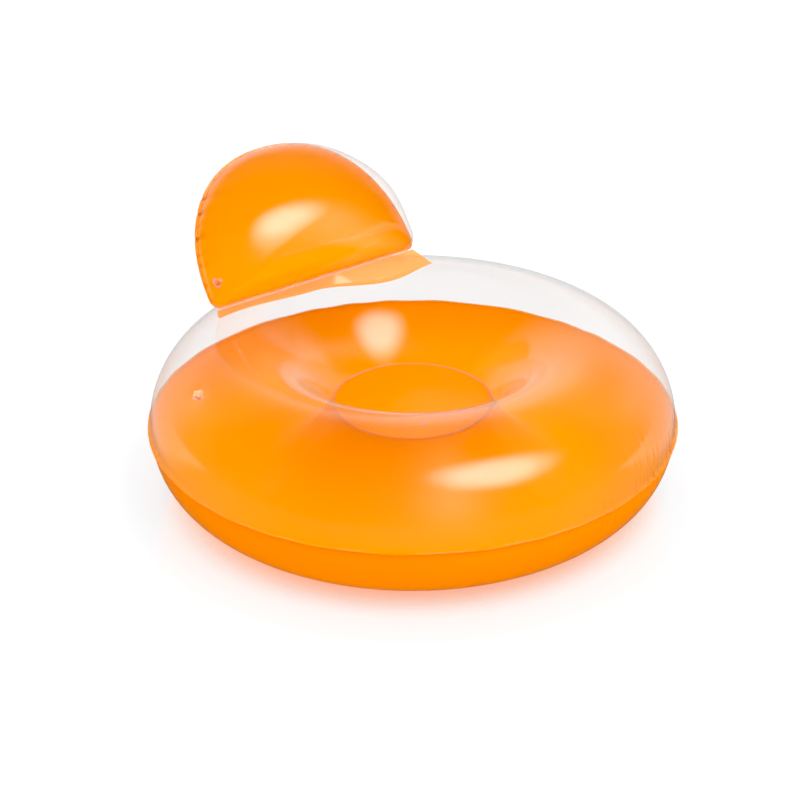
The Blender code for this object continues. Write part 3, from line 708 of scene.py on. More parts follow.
def ring_curve(sizes, side):
    """Fine curve of the ring's outer face as radius and height: side is 1 for the top film, -1 below."""
    inner, outer = sizes.seat_radius, sizes.seam_radius
    radius, height = bulge_section(inner, outer, level_sine(inner, outer))
    bulge = sizes.top_bulge if side > 0 else sizes.bottom_bulge
    across = (outer - radius) / (outer - inner)
    seam_lift = WELD_GAP / 2.0 + FILM
    seat_lift = FILM / 2.0 + WELD_GAP + FILM
    lift = seam_lift + (seat_lift - seam_lift) * across
    height = side * (height * bulge / height.max() + lift) + (SEAT_HEIGHT - SEAM_HEIGHT) * across
    if side < 0:
        height = np.maximum(height, height.min() + sizes.foot_depth)
    return radius, SEAM_HEIGHT + height


def ring_top_height(sizes, x, y):
    """Height of the ring's top film above points of the floor, welds included."""
    return np.interp(np.hypot(x, y), *ring_curve(sizes, 1))


def travel_of(*coordinates):
    """Distance travelled along a line of points."""
    steps = np.sqrt(sum(np.diff(values) ** 2 for values in coordinates))
    return np.concatenate([[0.0], np.cumsum(steps)])


def smooth_step(value, low, high):
    """Smooth step from 0 at low to 1 at high: three times the square less twice the cube."""
    step = np.clip((value - low) / (high - low), 0.0, 1.0)
    return step * step * (3.0 - 2.0 * step)


def bell(value, power=2):
    """Bell curve: e to the power of minus the value to a power."""
    return np.exp(-(value**power))


def loop_distance(place, other, total):
    """Signed distance between two places on a loop, the short way round."""
    return (place - other + total / 2.0) % total - total / 2.0


def uneven_wave(place, pitch, drift):
    """Wave of even height and uneven length: the sine of p x + 2 sin(d x)."""
    return np.sin(place * pitch + 2.0 * np.sin(place * drift))


def pucker_dent(sizes, along, inward, total, strength, ranges):
    """Depth of the puckers at distances along and in from a weld of the given total length.

    Each pucker is a bell across with a low ridge on each side, fans out as it runs in, and fades with the
    distance from the weld. The strength is a function of the place along the weld, and the ranges hold the
    least and greatest share of a pucker's depth, width and length.
    """
    random = np.random.default_rng(sizes.seed)
    jitter = random.uniform(-PLACE_JITTER, PLACE_JITTER, sizes.puckers)
    places = (np.arange(sizes.puckers) + jitter) * total / sizes.puckers
    full = (sizes.pucker_depth, sizes.pucker_width, sizes.pucker_length)
    drawn = [size * random.uniform(*span, sizes.puckers) for size, span in zip(full, ranges)]
    depths, widths, lengths = drawn
    inward = inward[..., None]
    across = np.abs(loop_distance(along[..., None], places, total)) / (widths * (1.0 + inward / lengths))
    shape = bell(across) - RIDGE_SHARE * bell(across / RIDGE_WIDTH)
    fade = bell(np.maximum(inward, 0.0) / lengths, FADE_POWER)
    return np.sum(depths * strength(places) * shape * fade, axis=-1)


def ring_dent(sizes, along, inward):
    """Depth of the ring's puckers: deepest at the front, the same on both films at the seam."""

    def strength(places):
        """Share of the full depth: a bell about the pucker front over a calm rest."""
        apart = loop_distance(places / sizes.seam_radius, sizes.pucker_front, math.tau)
        return RING_CALM + (1.0 - RING_CALM) * bell(apart / sizes.pucker_spread)

    return pucker_dent(sizes, along, inward, math.tau * sizes.seam_radius, strength, RING_PUCKERS)


def ring_columns(sizes):
    """Angles of the ring's columns, three times as close where the puckers are deep as behind.

    The density is 1 plus twice a bell about the pucker front, and the angles are where its running sum
    reaches even steps."""
    turn = np.linspace(0.0, math.tau, SECTION_STEPS * 4 + 1)
    apart = loop_distance(turn, sizes.pucker_front, math.tau)
    density = 1.0 + CROWD_SHARE * bell(apart / sizes.pucker_spread / CROWD_WIDTH, 4)
    reached = running_integral(density, np.arange(len(turn)))
    return np.interp(np.linspace(0.0, reached[-1], sizes.columns + 1), reached, turn)


def ring_section(sizes, side):
    """Rows of the ring's section with its two flat weld margins, closer near the welds, and the distances
    from the seam and from the seat weld along it."""
    radius, height = ring_curve(sizes, side)
    travel = travel_of(radius, height)
    marks = np.linspace(0.0, 1.0, sizes.rows + 1)
    marks = (marks + (1.0 - np.cos(math.pi * marks)) / 2.0) / 2.0 * travel[-1]
    rows_radius = np.interp(marks, travel, radius)
    rows_height = np.interp(marks, travel, height)
    margin = WELD_WIDTH * np.array([1.0, 0.5])
    rows_radius = np.concatenate([rows_radius[0] - margin, rows_radius, rows_radius[-1] + margin[::-1]])
    rows_height = np.concatenate([[rows_height[0]] * 2, rows_height, [rows_height[-1]] * 2])
    from_seam = np.concatenate([travel[-1] + margin, travel[-1] - marks, -margin[::-1]])
    from_seat = np.concatenate([-margin, marks, travel[-1] + margin[::-1]])
    return rows_radius, rows_height, from_seam, from_seat


def placed(points, place):
    """Points of a place's own axes in the frame of the whole part."""
    return points @ np.array(place.to_3x3()).T + np.array(place.translation)


def flatten_at_valve(points, place, valve):
    """Draw a film on to its valve's plane: fully over the flange, and less and less around it."""
    turn = np.array(place.to_3x3())
    local = (points - np.array(place.translation)) @ turn
    near = smooth_step(np.linalg.norm(local[..., :2], axis=-1), valve.flat_blend, valve.flat_radius)
    near = near * (np.abs(local[..., 2]) < valve.flat_blend)
    return points - (near * local[..., 2])[..., None] * turn[:, 2]


def ring_film(name, sizes, side, material, place=None, valve=None):
    """One film of the ring: its section turned about Z, dented by the puckers along the seam.

    A point is (r cos a, r sin a, z), moved in along the section's normal by the pucker's depth, and the
    seam's margin waves up and down. A film with a valve lies flat at the valve's place.
    """
    radius, height, from_seam, from_seat = ring_section(sizes, side)
    turns = ring_columns(sizes)
    around = turns[:-1]
    along, inward = np.meshgrid(around * sizes.seam_radius, from_seam)
    dent = ring_dent(sizes, along, inward)
    slope = np.stack([np.gradient(radius), np.gradient(height)])
    slope /= np.linalg.norm(slope, axis=0)
    out_radius = np.where(from_seam <= 0.0, 1.0, -slope[1] * side)[:, None]
    out_height = np.where(from_seam <= 0.0, 0.0, slope[0] * side)[:, None]
    free = np.clip(from_seat / SEAT_FREE, 0.0, 1.0)[:, None]
    r = radius[:, None] - out_radius * dent * free
    z = height[:, None] - out_height * dent * free
    wave = np.clip(-from_seam / WELD_WIDTH, 0.0, 1.0)[:, None]
    z = z + wave * SEAM_WAVE * uneven_wave(along, *SEAM_PITCHES)
    points = np.stack([r * np.cos(around), r * np.sin(around), z], axis=-1)
    if place is not None:
        points = flatten_at_valve(points, place, valve)
    weld_map = np.stack(np.meshgrid(turns * sizes.seam_radius, np.minimum(from_seam, from_seat)), axis=-1)
    folds = np.clip(dent / sizes.pucker_depth * (1.0 + FOLD_START) - FOLD_START, 0.0, 1.0)
    if side < 0:
        points, weld_map, folds = points[::-1], weld_map[::-1], folds[::-1]
    return film_piece(name, points, weld_map, material, folds=folds)


def combine(piece, other, operation):
    """Join another object to a piece or cut it out of it, with an exact Boolean, and remove that object."""
    change = piece.modifiers.new("combine", "BOOLEAN")
    change.solver = "EXACT"
    change.operation = operation
    change.object = other
    shown = bpy.context.evaluated_depsgraph_get()
    shown.update()
    mesh = bpy.data.meshes.new_from_object(piece.evaluated_get(shown))
    piece.modifiers.clear()
    piece.data = mesh
    mesh.name = piece.name
    bpy.data.objects.remove(other, do_unlink=True)


def cut_hole(piece, place, valve):
    """Take the round hole for a valve's stem out of a film."""
    radius = valve.stem_radius + valve.slide + valve.gap
    rim = [(0.0, HOLE_REACH), (radius, HOLE_REACH), (radius, -HOLE_REACH), (0.0, -HOLE_REACH)]
    cutter = turned_piece("hole_cutter", np.array(rim), HOLE_SEGMENTS, place, None)
    combine(piece, cutter, "DIFFERENCE")


def rounded(points, size, steps=4):
    """Round the corners of an outline: each corner becomes a quadratic arc between two points at the given
    distance from it. The outline is closed, and a size of 0 leaves a corner as it is."""
    points = np.asarray(points, float)
    size = np.broadcast_to(size, len(points))[:, None]
    ahead = np.roll(points, -1, axis=0) - points
    behind = np.roll(points, 1, axis=0) - points
    start = points + behind / np.linalg.norm(behind, axis=1)[:, None] * size
    end = points + ahead / np.linalg.norm(ahead, axis=1)[:, None] * size
    t = np.linspace(0.0, 1.0, steps + 1)[None, :, None]
    arcs = (1.0 - t) ** 2 * start[:, None] + 2.0 * t * (1.0 - t) * points[:, None] + t**2 * end[:, None]
    flat = arcs.reshape(-1, 2)
    fresh = np.concatenate([[True], np.linalg.norm(np.diff(flat, axis=0), axis=1) > 1e-7])
    return flat[fresh]


def circle(columns):
    """Unit circle at even steps."""
    around = np.linspace(0.0, math.tau, columns, endpoint=False)
    return np.stack([np.cos(around), np.sin(around)], axis=-1)


def at_levels(flat, levels):
    """Rings of (x, y) points, each lifted to its own level."""
    return np.concatenate([flat, np.broadcast_to(levels[:, None, None], (*flat.shape[:2], 1))], axis=-1)


def lofted(name, rings, poles, place, material):
    """Piece over closed rings of points in a place's own axes. Two poles close the first and the last ring
    with fans, and without poles the last ring joins the first."""
    levels, columns = rings.shape[:2]
    rows = np.arange(levels + (poles is None)) % levels
    spots = rows[:, None] * columns + np.arange(columns + 1) % columns
    blocks = [grid_quads(spots)]
    points = rings.reshape(-1, 3)
    if poles is not None:
        blocks += [fan(len(points), spots[0]), fan(len(points) + 1, spots[-1])[:, ::-1]]
        points = np.concatenate([points, poles])
    return add_piece(name, placed(points, place), [(block, block) for block in blocks], material)


def turned_piece(name, profile, segments, place, material):
    """Turn a clockwise profile of (radius, height) about the Z axis of a place.

    A point is (r cos a, r sin a, z). Where the profile starts and ends on the axis, it is closed with fans,
    and otherwise its last point joins its first.
    """
    poles = None
    if profile[0, 0] == 0.0:
        poles = np.array([(0.0, 0.0, profile[0, 1]), (0.0, 0.0, profile[-1, 1])])
        profile = profile[1:-1]
    rings = at_levels(profile[:, None, :1] * circle(segments), profile[:, 1])
    return lofted(name, rings, poles, place, material)


def washer(name, radii, levels, valve, place, material):
    """Washer with rounded edges between two radii, the inner one first, and two levels, the top first."""
    inner, outer = radii
    top, bottom = levels
    outline = [(inner, top), (outer, top), (outer, bottom), (inner, bottom)]
    return turned_piece(name, rounded(outline, valve.edge), valve.segments, place, material)


def seat_drop(sizes, away):
    """How far the seat hangs at a share of its radius: a parabola from the weld."""
    return sizes.seat_sag * (1.0 - away**2)


def seat_piece(sizes, material):
    """Seat sheet: a disc between the drain hole and the seat weld, hanging slightly in its middle.

    Each row is a mix of the hole's circle and the weld's circle, and the height falls with a parabola from
    the weld, with faint tension folds that fade towards the middle.
    """
    centre = np.array((DRAIN_LOW + DRAIN_HIGH) / 2.0)[:2]
    ring = circle(SEAT_COLUMNS)
    share_out = np.linspace(0.0, 1.0, SEAT_ROWS)[:, None, None] ** SEAT_ROW_POWER
    flat = (centre + ring * DRAIN_HOLE) * (1.0 - share_out) + ring * sizes.seat_radius * share_out
    away = np.linalg.norm(flat, axis=-1) / sizes.seat_radius
    turn = np.arctan2(flat[..., 1], flat[..., 0])
    folds = SEAT_FOLD * uneven_wave(turn, *SEAT_PITCHES) * away**SEAT_FOLD_POWER
    folds = folds * np.clip((1.0 - away) / SEAT_FOLD_END, 0.0, 1.0)
    near_drain = np.clip(np.linalg.norm(flat - centre, axis=-1) / DRAIN_FREE, 0.0, 1.0)
    height = SEAT_HEIGHT + FILM / 2.0 - seat_drop(sizes, away) + folds * near_drain
    points = np.concatenate([flat, height[..., None]], axis=-1)
    along = np.linspace(0.0, math.tau * sizes.seat_radius, SEAT_COLUMNS + 1)
    inward = (1.0 - share_out[:, 0, 0]) * sizes.seat_radius
    weld_map = np.stack(np.meshgrid(along, inward), axis=-1)
    return film_piece("seat_panel", points, weld_map, material)


def drain_piece(sizes, valve, material):
    """Reinforcing ring round the drain hole: a low washer with rounded edges, which hangs with the seat."""
    middle = (DRAIN_LOW + DRAIN_HIGH) / 2.0
    drop = seat_drop(sizes, middle.xy.length / sizes.seat_radius)
    place = Matrix.Translation((middle.x, middle.y, DRAIN_LOW.z - drop))
    radii = (DRAIN_HOLE + DRAIN_GAP, (DRAIN_HIGH.x - DRAIN_LOW.x) / 2.0)
    return washer("drain_grommet", radii, (DRAIN_HIGH.z - DRAIN_LOW.z, 0.0), valve, place, material)


def pillow_outline(sizes):
    """Weld line as (across, up) points at even steps: a superellipse arch, round corners, a straight base."""
    corner = sizes.corner
    half = sizes.width / 2.0
    power = 2.0 / sizes.outline_power
    turn = np.linspace(0.0, math.pi, OUTLINE_STEPS)
    across = half * np.sign(np.cos(turn)) * np.abs(np.cos(turn)) ** power
    up = corner + (sizes.height - corner) * np.sin(turn) ** power
    bend = np.linspace(0.0, math.pi / 2.0, CORNER_STEPS)[1:]
    left = np.column_stack([-half + corner - corner * np.cos(bend), corner - corner * np.sin(bend)])
    right = (left * (-1.0, 1.0))[::-1]
    line = np.vstack([np.column_stack([across, up]), left, right, [(across[0], up[0])]])
    travel = travel_of(line[:, 0], line[:, 1])
    marks = np.linspace(0.0, travel[-1], sizes.columns, endpoint=False)
    spots = [np.interp(marks, travel, column) for column in line.T]
    return np.column_stack(spots), travel[-1]


def outward_of(outline):
    """Unit vectors square to a closed outline, pointing out of it."""
    along = np.roll(outline, -1, axis=0) - np.roll(outline, 1, axis=0)
    along /= np.linalg.norm(along, axis=1)[:, None]
    return np.column_stack([along[:, 1], -along[:, 0]])


def dome_share(share_out, stretch):
    """Height of an inflated film, as a share of its bulge, at a share of the way out to its weld.

    The sine of the slope is a mix of the share and its square: the square is the law of a film that can't
    stretch, and the share itself that of one which stretches like a soap film."""
    turn = np.linspace(0.0, math.pi / 2.0, SECTION_STEPS)
    share = np.sin(turn)
    sine = share * (stretch + (1.0 - stretch) * share)
    rate = np.zeros_like(turn)
    rate[:-1] = sine[:-1] / np.sqrt(1.0 - sine[:-1] ** 2) * np.cos(turn[:-1])
    rate[-1] = rate[-2]
    depth = running_integral(rate, turn)
    return np.interp(share_out, share, 1.0 - depth / depth[-1])


def pillow_place(sizes):
    """Place of the pillow's hinge line, with Z up the pillow and Y towards its back."""
    hinge = Vector(JOINTS["pillow_lean"]["pos_m"])
    return Matrix.Translation(hinge) @ Matrix.Rotation(-sizes.lean, 4, "X")


def pillow_dent(sizes, outline, total, along, inward):
    """Depth of the pillow's puckers: deepest along its left and upper left weld."""
    left = np.clip(0.5 - outline[:, 0] / sizes.width * PILLOW_LEFT_SLOPE, 0.0, 1.0)
    left = left * (outline[:, 1] > sizes.corner)

    def strength(places):
        """Share of the full depth: full at the left weld over a calm rest."""
        near_left = np.interp(places, np.linspace(0.0, total, len(left)), left)
        return PILLOW_CALM + (1.0 - PILLOW_CALM) * near_left

    return pucker_dent(sizes, along, inward, total, strength, PILLOW_PUCKERS)


def pillow_dome(sizes, side, outline):
    """Rows of an inflated film from its crown to its weld: (across, up) points, rises, crown and bulge.

    At a share s of the way out, the outline is the weld line mixed with an oval by s squared, scaled by s
    about the crown, and the rise is the bulge times the share of height that an even pressure gives there.
    """
    crown = np.array([0.0, sizes.height * sizes.centre_share])
    if side < 0:
        crown += (sizes.crown_across, -sizes.crown_drop)
    spread = outline - crown
    reach = np.linalg.norm(spread, axis=1)[:, None]
    half_sizes = (sizes.width / 2.0, sizes.height * sizes.oval_share)
    oval = 1.0 / np.linalg.norm(spread / reach / half_sizes, axis=1)[:, None]
    steps = np.linspace(0.0, 1.0, sizes.rows + 1)[1:]
    shares = np.sin(steps * math.pi / 2.0)[:, None, None]
    flat = crown + spread / reach * (reach * shares**2 + oval * (1.0 - shares**2)) * shares
    bulge = sizes.front_bulge if side < 0 else sizes.back_bulge
    rise = bulge * dome_share(shares[:, 0, 0], sizes.stretch)
    return flat, np.broadcast_to(rise[:, None], flat.shape[:2]), crown, bulge


def pillow_film(name, sizes, ring, side, material, place=None, valve=None):
    """One film of the pillow, an inflated dome on its half-moon weld: side is -1 for the front, 1 behind.

    Its puckers dent it along its normal, which turns into the weld's plane near the weld. The back film lies
    on the ring, and a film with a valve lies flat at the valve's place.
    """
    outline, total = pillow_outline(sizes)
    flat, rise, crown, bulge = pillow_dome(sizes, side, outline)
    along = np.linspace(0.0, total, sizes.columns + 1)
    inward = np.hypot(np.linalg.norm(flat - outline, axis=-1), rise)
    dent = pillow_dent(sizes, outline, total, along[:-1], inward)
    edge = WELD_GAP / 2.0 + FILM
    local = np.stack([flat[..., 0], side * (edge + rise), flat[..., 1]], axis=-1)
    normals = grid_normals(local, True)
    normals *= np.sign(np.sum(normals[0, :, 1]) * side)
    near = bell(inward / WELD_NEAR)[..., None]
    weld_out = np.insert(outward_of(outline), 1, 0.0, axis=1)
    moved = normals * (1.0 - near) + weld_out * near
    local = local - moved / np.linalg.norm(moved, axis=-1)[..., None] * dent[..., None]
    margins = WELD_WIDTH * np.array([0.5, 1.0])
    local = np.concatenate([local, local[-1:] + weld_out * margins[:, None, None]])
    foot = WELD_WIDTH + sizes.hinge_gap
    local[..., 2] += foot
    home = pillow_place(sizes)
    tip = placed(np.array([crown[0], side * (edge + bulge), crown[1] + foot]), home)
    points = placed(local, home)
    if side > 0:
        points = rest_on_ring(points, sizes, ring)
    if place is not None:
        points = flatten_at_valve(points, place, valve)
    weld_map = np.stack(np.meshgrid(along, np.concatenate([inward[:, 0], -margins])), axis=-1)
    folds = np.clip(np.concatenate([dent, dent[-1:], dent[-1:]]) / sizes.pucker_depth, 0.0, 1.0)
    if side > 0:
        points, weld_map, folds = points[:, ::-1], weld_map[:, ::-1], folds[:, ::-1]
    pole = (tip, np.array(home.to_3x3())[:, 1] * side)
    return film_piece(name, points, weld_map, material, tip=pole, folds=folds)


def rest_on_ring(points, sizes, ring):
    """Keep a film above the ring's top film: the height is a soft maximum of its own and the ring's."""
    floor = ring_top_height(ring, points[..., 0], points[..., 1]) + sizes.rest_clearance
    inside = np.hypot(points[..., 0], points[..., 1]) < ring.seam_radius
    over = (points[..., 2] - floor) / sizes.rest_softness
    soft = floor + sizes.rest_softness * np.log1p(np.exp(np.clip(over, -SOFT_LIMIT, SOFT_LIMIT)))
    lifted = np.where(inside & (over < SOFT_LIMIT), soft, points[..., 2])
    return np.concatenate([points[..., :2], lifted[..., None]], axis=-1)


def flap_reach(sizes, across):
    """How far ahead of the pillow's weld the flap's foot is: short on the left, long on the right, with a
    smooth step between."""
    step = smooth_step(across, sizes.flap_turn_start, sizes.flap_turn_end)
    return sizes.flap_short + (sizes.flap_long - sizes.flap_short) * step


def flap_piece(sizes, ring, material):
    """Flap of the pillow: a strip from its weld on the ring's top film up to the hinge line. The size that it
    is cut to and its area are handed back with it.

    Each column follows the ring over the weld, then rises in a straight line to the hinge with faint slack,
    and lies on the ring where that line would cut it."""
    place = pillow_place(sizes)
    hinge = place.translation
    weld_y = (place @ Vector((0.0, 0.0, WELD_WIDTH + sizes.hinge_gap))).y
    half = sizes.width / 2.0 - sizes.flap_inset
    across = np.linspace(-half, half, FLAP_COLUMNS)
    foot_y = weld_y - flap_reach(sizes, across)
    weld = np.linspace(-sizes.flap_margin, 0.0, FLAP_WELD_ROWS)[:, None]
    rise = np.linspace(0.0, 1.0, FLAP_ROWS)[1:, None]
    lift = sizes.flap_clearance + FILM
    foot_z = ring_top_height(ring, across, foot_y) + lift
    top_y, top_z = hinge.y - sizes.hinge_gap * FLAP_TOP[0], hinge.z - sizes.hinge_gap * FLAP_TOP[1]
    slack = FLAP_SLACK * np.sin(rise * math.pi) * uneven_wave(across, *FLAP_PITCHES)
    rise_y = foot_y + (top_y - foot_y) * rise
    rise_z = foot_z + (top_z - foot_z) * rise + slack
    rise_z = np.maximum(rise_z, ring_top_height(ring, across, rise_y) + lift)
    y = np.concatenate([foot_y + weld, rise_y])
    z = np.concatenate([ring_top_height(ring, across, foot_y + weld) + lift, rise_z])
    points = np.stack([np.broadcast_to(across, y.shape), y, z], axis=-1)
    inward = np.concatenate([weld[:, 0], rise[:, 0] * FLAP_MAP_HEIGHT])
    weld_map = np.stack(np.meshgrid(across, inward), axis=-1)
    flap = film_piece("pillow_flap", points[:, ::-1], weld_map[:, ::-1], material, wrap=False)
    lengths = np.sum(np.linalg.norm(np.diff(points, axis=0), axis=-1), axis=0)
    return flap, (2.0 * half, float(lengths.max())), float(lengths.mean() * 2.0 * half)


def valve_place(chamber, valve):
    """Place of a chamber's valve on its film, from the stem's slide and the check flap's hinge."""
    hinge = JOINTS[chamber + "_check_open"]
    third = Vector(JOINTS[chamber + "_stem_pull"]["axis"]).normalized()
    second = Vector(hinge["axis"]).normalized()
    first = second.cross(third).normalized()
    centre = Vector(hinge["pos_m"]) + first * valve.stem_radius + third * valve.stem_length
    return Matrix.Translation(centre) @ Matrix((first, second, third)).transposed().to_4x4()


def valve_levels(valve):
    """Heights above the film of the lip's top and of the cap's two faces."""
    lip = valve.gap + valve.lip_thickness
    cap = lip + valve.gap
    return lip, cap, cap + valve.cap_thickness


def valve_base(name, valve, place, material):
    """Flange behind the film: a washer turned about the valve's axis."""
    top = -FILM - valve.gap
    radii = (valve.stem_radius + valve.slide, valve.base_radius)
    return washer(name, radii, (top, top - valve.base_thickness), valve, place, material)


def valve_stem(name, valve, place, material):
    """Tube with a lip that rests on the film and a chamfered mouth, turned about the valve's axis."""
    top = valve.gap + valve.lip_thickness
    outline = [
        (valve.bore_radius + valve.mouth_chamfer, top),
        (valve.lip_radius, top),
        (valve.lip_radius, valve.gap),
        (valve.stem_radius, valve.gap),
        (valve.stem_radius, valve.gap - valve.stem_length),
        (valve.bore_radius, valve.gap - valve.stem_length),
        (valve.bore_radius, top - valve.mouth_chamfer),
    ]
    return turned_piece(name, rounded(outline, valve.edge), valve.segments, place, material)


def valve_plug(name, valve, place, material):
    """Tapered stopper with a dished cap, turned about the valve's axis, and a finger tab joined to it."""
    _, cap, top = valve_levels(valve)
    stopper = valve.bore_radius - valve.plug_clearance
    outline = [
        (0.0, top - valve.edge),
        (valve.cap_radius * CAP_DISH[0], top - valve.edge),
        (valve.cap_radius * CAP_DISH[1], top),
        (valve.cap_radius, top),
        (valve.cap_radius, cap),
        (stopper, cap),
        (stopper - valve.plug_taper, cap - valve.plug_length),
        (0.0, cap - valve.plug_length),
    ]
    sizes = valve.edge * PLUG_EDGE * np.array([0, 1, 1, 1, 1, 0, 1, 0])
    plug = turned_piece(name, rounded(outline, sizes), valve.segments, place, material)
    combine(plug, tab_piece(valve, place, (cap + top) / 2.0), "UNION")
    plug.data.shade_smooth()
    plug.data.set_sharp_from_angle(angle=SHARP_ANGLE)
    return plug


def tab_piece(valve, place, middle):
    """Finger tab: a flat tongue with a round end that reaches out of the cap along -X."""
    half = valve.tab_width / 2.0
    straight = valve.cap_radius + valve.tab_length - half
    turn = np.linspace(math.pi / 2.0, 3.0 * math.pi / 2.0, 25)
    end = np.column_stack([-straight + half * np.cos(turn), half * np.sin(turn)])
    rim = np.vstack([[(-valve.cap_radius / 2.0, -half), (-valve.cap_radius / 2.0, half)], end])
    bottom = middle - valve.tab_thickness / 2.0
    return plate_piece("tab_guide", rim, bottom, valve.tab_thickness, valve, place, None)


def plate_piece(name, rim, bottom, height, valve, place, material):
    """Flat plate over a rim of (x, y) points that runs round clockwise or not, with softened edges.

    Its levels are the rim drawn in by a quarter round at the top and bottom edges."""
    middle = rim.mean(axis=0)
    size = np.abs(rim - middle).max()
    soft = min(valve.edge, height * PLATE_SOFT)
    turn = np.linspace(0.0, math.pi / 2.0, 4)
    scale = 1.0 - soft / size * (1.0 - np.concatenate([np.sin(turn), np.sin(turn)[::-1]]))
    drop = soft * (1.0 - np.cos(turn))
    levels = np.concatenate([height - drop, drop[::-1]]) + bottom
    rings = middle + (rim - middle)[None] * scale[:, None, None]
    area = np.sum(rim[:, 0] * np.roll(rim[:, 1], -1) - np.roll(rim[:, 0], -1) * rim[:, 1])
    if area < 0.0:
        rings = rings[:, ::-1]
    poles = np.array([(*middle, levels[0]), (*middle, levels[-1])])
    return lofted(name, at_levels(rings, levels), poles, place, material)


def strap_piece(name, valve, place, material):
    """Band from the stem's lip out along +X and back to the cap: a rounded section carried along its path."""
    lip, cap, top = valve_levels(valve)
    low = lip - valve.lip_thickness / 2.0
    high = (cap + top) / 2.0
    bend = (high - low) / 2.0
    turning = valve.lip_radius + valve.strap_reach - bend
    turn = np.linspace(-math.pi / 2.0, math.pi / 2.0, 17)
    lower = np.linspace(valve.lip_radius + valve.gap, turning, STRAP_STEPS + 1)[:-1]
    upper = np.linspace(turning, valve.cap_radius + valve.gap, STRAP_STEPS + 1)[1:]
    x = np.concatenate([lower, turning + bend * np.cos(turn), upper])
    level = (low + high) / 2.0 + bend * np.sin(turn)
    z = np.concatenate([np.full(STRAP_STEPS, low), level, np.full(STRAP_STEPS, high)])
    tangent = np.stack([np.gradient(x), np.gradient(z)], axis=-1)
    tangent /= np.linalg.norm(tangent, axis=1)[:, None]
    half, thick = valve.strap_width / 2.0, valve.strap_thickness / 2.0
    corners = [(-half, -thick), (-half, thick), (half, thick), (half, -thick)]
    across, out = rounded(corners, thick * STRAP_ROUNDING).T
    grid = (x[:, None] - tangent[:, 1:] * out, across, z[:, None] + tangent[:, :1] * out)
    rings = np.stack(np.broadcast_arrays(*grid), axis=-1)
    poles = np.array([rings[0].mean(axis=0), rings[-1].mean(axis=0)])
    return lofted(name, rings, poles, place, material)


def check_piece(name, valve, place, material):
    """Check flap: a thin disc that closes the stem's inner end, with a square ear on its hinge line."""
    half = valve.check_ear / 2.0
    start = math.asin(half / valve.check_radius)
    turn = np.linspace(-math.pi + start, math.pi - start, 49)
    disc = np.column_stack([np.cos(turn), np.sin(turn)]) * valve.check_radius
    rim = np.vstack([disc, [(-valve.stem_radius, half), (-valve.stem_radius, -half)]])
    bottom = -valve.stem_length - valve.check_thickness
    return plate_piece(name, rim, bottom, valve.check_thickness, valve, place, material)


def finished(piece, body, slot, *nodes):
    """Hand a piece over: the body it rides on and the nodes it stands for. The slot argument is not used."""
    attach(piece, body)
    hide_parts(*nodes)
    return piece


class LOUNGER_OT_ring(Operator):
    """Build the two films of the ring"""

    bl_idname = "lounger.ring"
    bl_label = "Ring Films"

    def execute(self, context):
        scene = context.scene
        sizes, valve = scene.lounger_ring, scene.lounger_valve
        place = valve_place("ring", valve)
        clear = vinyl(scene, clear_vinyl, "clear_vinyl_film")
        top = ring_film("ring_clear_film", sizes, 1, clear, place, valve)
        cut_hole(top, place, valve)
        finished(top, "ring", "clear_vinyl", "ring_top_film")
        orange = vinyl(scene, tinted_vinyl, "orange_vinyl_film")
        bottom = ring_film("ring_orange_film", sizes, -1, orange)
        finished(bottom, "ring", "orange_vinyl", "ring_bottom_film")
        return {"FINISHED"}


class LOUNGER_OT_seat(Operator):
    """Build the seat sheet and the ring round its drain"""

    bl_idname = "lounger.seat"
    bl_label = "Seat"

    def execute(self, context):
        scene = context.scene
        sizes, valve = scene.lounger_ring, scene.lounger_valve
        seat = seat_piece(sizes, vinyl(scene, tinted_vinyl, "seat_vinyl_film"))
        finished(seat, "ring", "orange_vinyl", "seat_sheet")
        drain = drain_piece(sizes, valve, vinyl(scene, moulded_vinyl, "drain_moulded_vinyl"))
        finished(drain, "ring", "valve_vinyl", "drain_ring")
        return {"FINISHED"}


class LOUNGER_OT_pillow(Operator):
    """Build the two films of the pillow and the flap that carries it"""

    bl_idname = "lounger.pillow"
    bl_label = "Pillow"

    def execute(self, context):
        scene = context.scene
        sizes, ring, valve = scene.lounger_pillow, scene.lounger_ring, scene.lounger_valve
        place = valve_place("pillow", valve)
        clear = vinyl(scene, clear_vinyl, "clear_vinyl_film")
        front = pillow_film("pillow_clear_film", sizes, ring, -1, clear)
        finished(front, "pillow", "clear_vinyl", "pillow_front_film")
        orange = vinyl(scene, tinted_vinyl, "orange_vinyl_film")
        back = pillow_film("pillow_orange_film", sizes, ring, 1, orange, place, valve)
        cut_hole(back, place, valve)
        finished(back, "pillow", "orange_vinyl", "pillow_back_film")
        flap, cut, area = flap_piece(sizes, ring, vinyl(scene, tinted_vinyl, "flap_vinyl_film"))
        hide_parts("pillow_hinge_flap")
        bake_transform(flap)
        return {"FINISHED"}


class LOUNGER_OT_valves(Operator):
    """Build the five pieces of each of the two valves"""

    bl_idname = "lounger.valves"
    bl_label = "Valves"

    def execute(self, context):
        scene = context.scene
        for chamber in ("ring", "pillow"):
            self.build(chamber, scene.lounger_valve, vinyl(scene, moulded_vinyl, "milky_moulded_vinyl"))
        return {"FINISHED"}

    def build(self, chamber, valve, material):
        """One valve on the film of its chamber."""
        place = valve_place(chamber, valve)
        for name, maker, body, node in VALVE_PARTS:
            piece = maker(chamber + name, valve, place, material)
            finished(piece, chamber + body, "valve_vinyl", chamber + node)
        strap = strap_piece(chamber + "_strap", valve, place, material)
        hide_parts(chamber + "_valve_strap")
        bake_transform(strap)


def back_vector(azimuth, elevation):
    """Unit vector from the object towards a viewer: azimuth 0 looks along +Y, and 90 along -X."""
    level = math.cos(elevation)
    return Vector((math.sin(azimuth) * level, -math.cos(azimuth) * level, math.sin(elevation)))


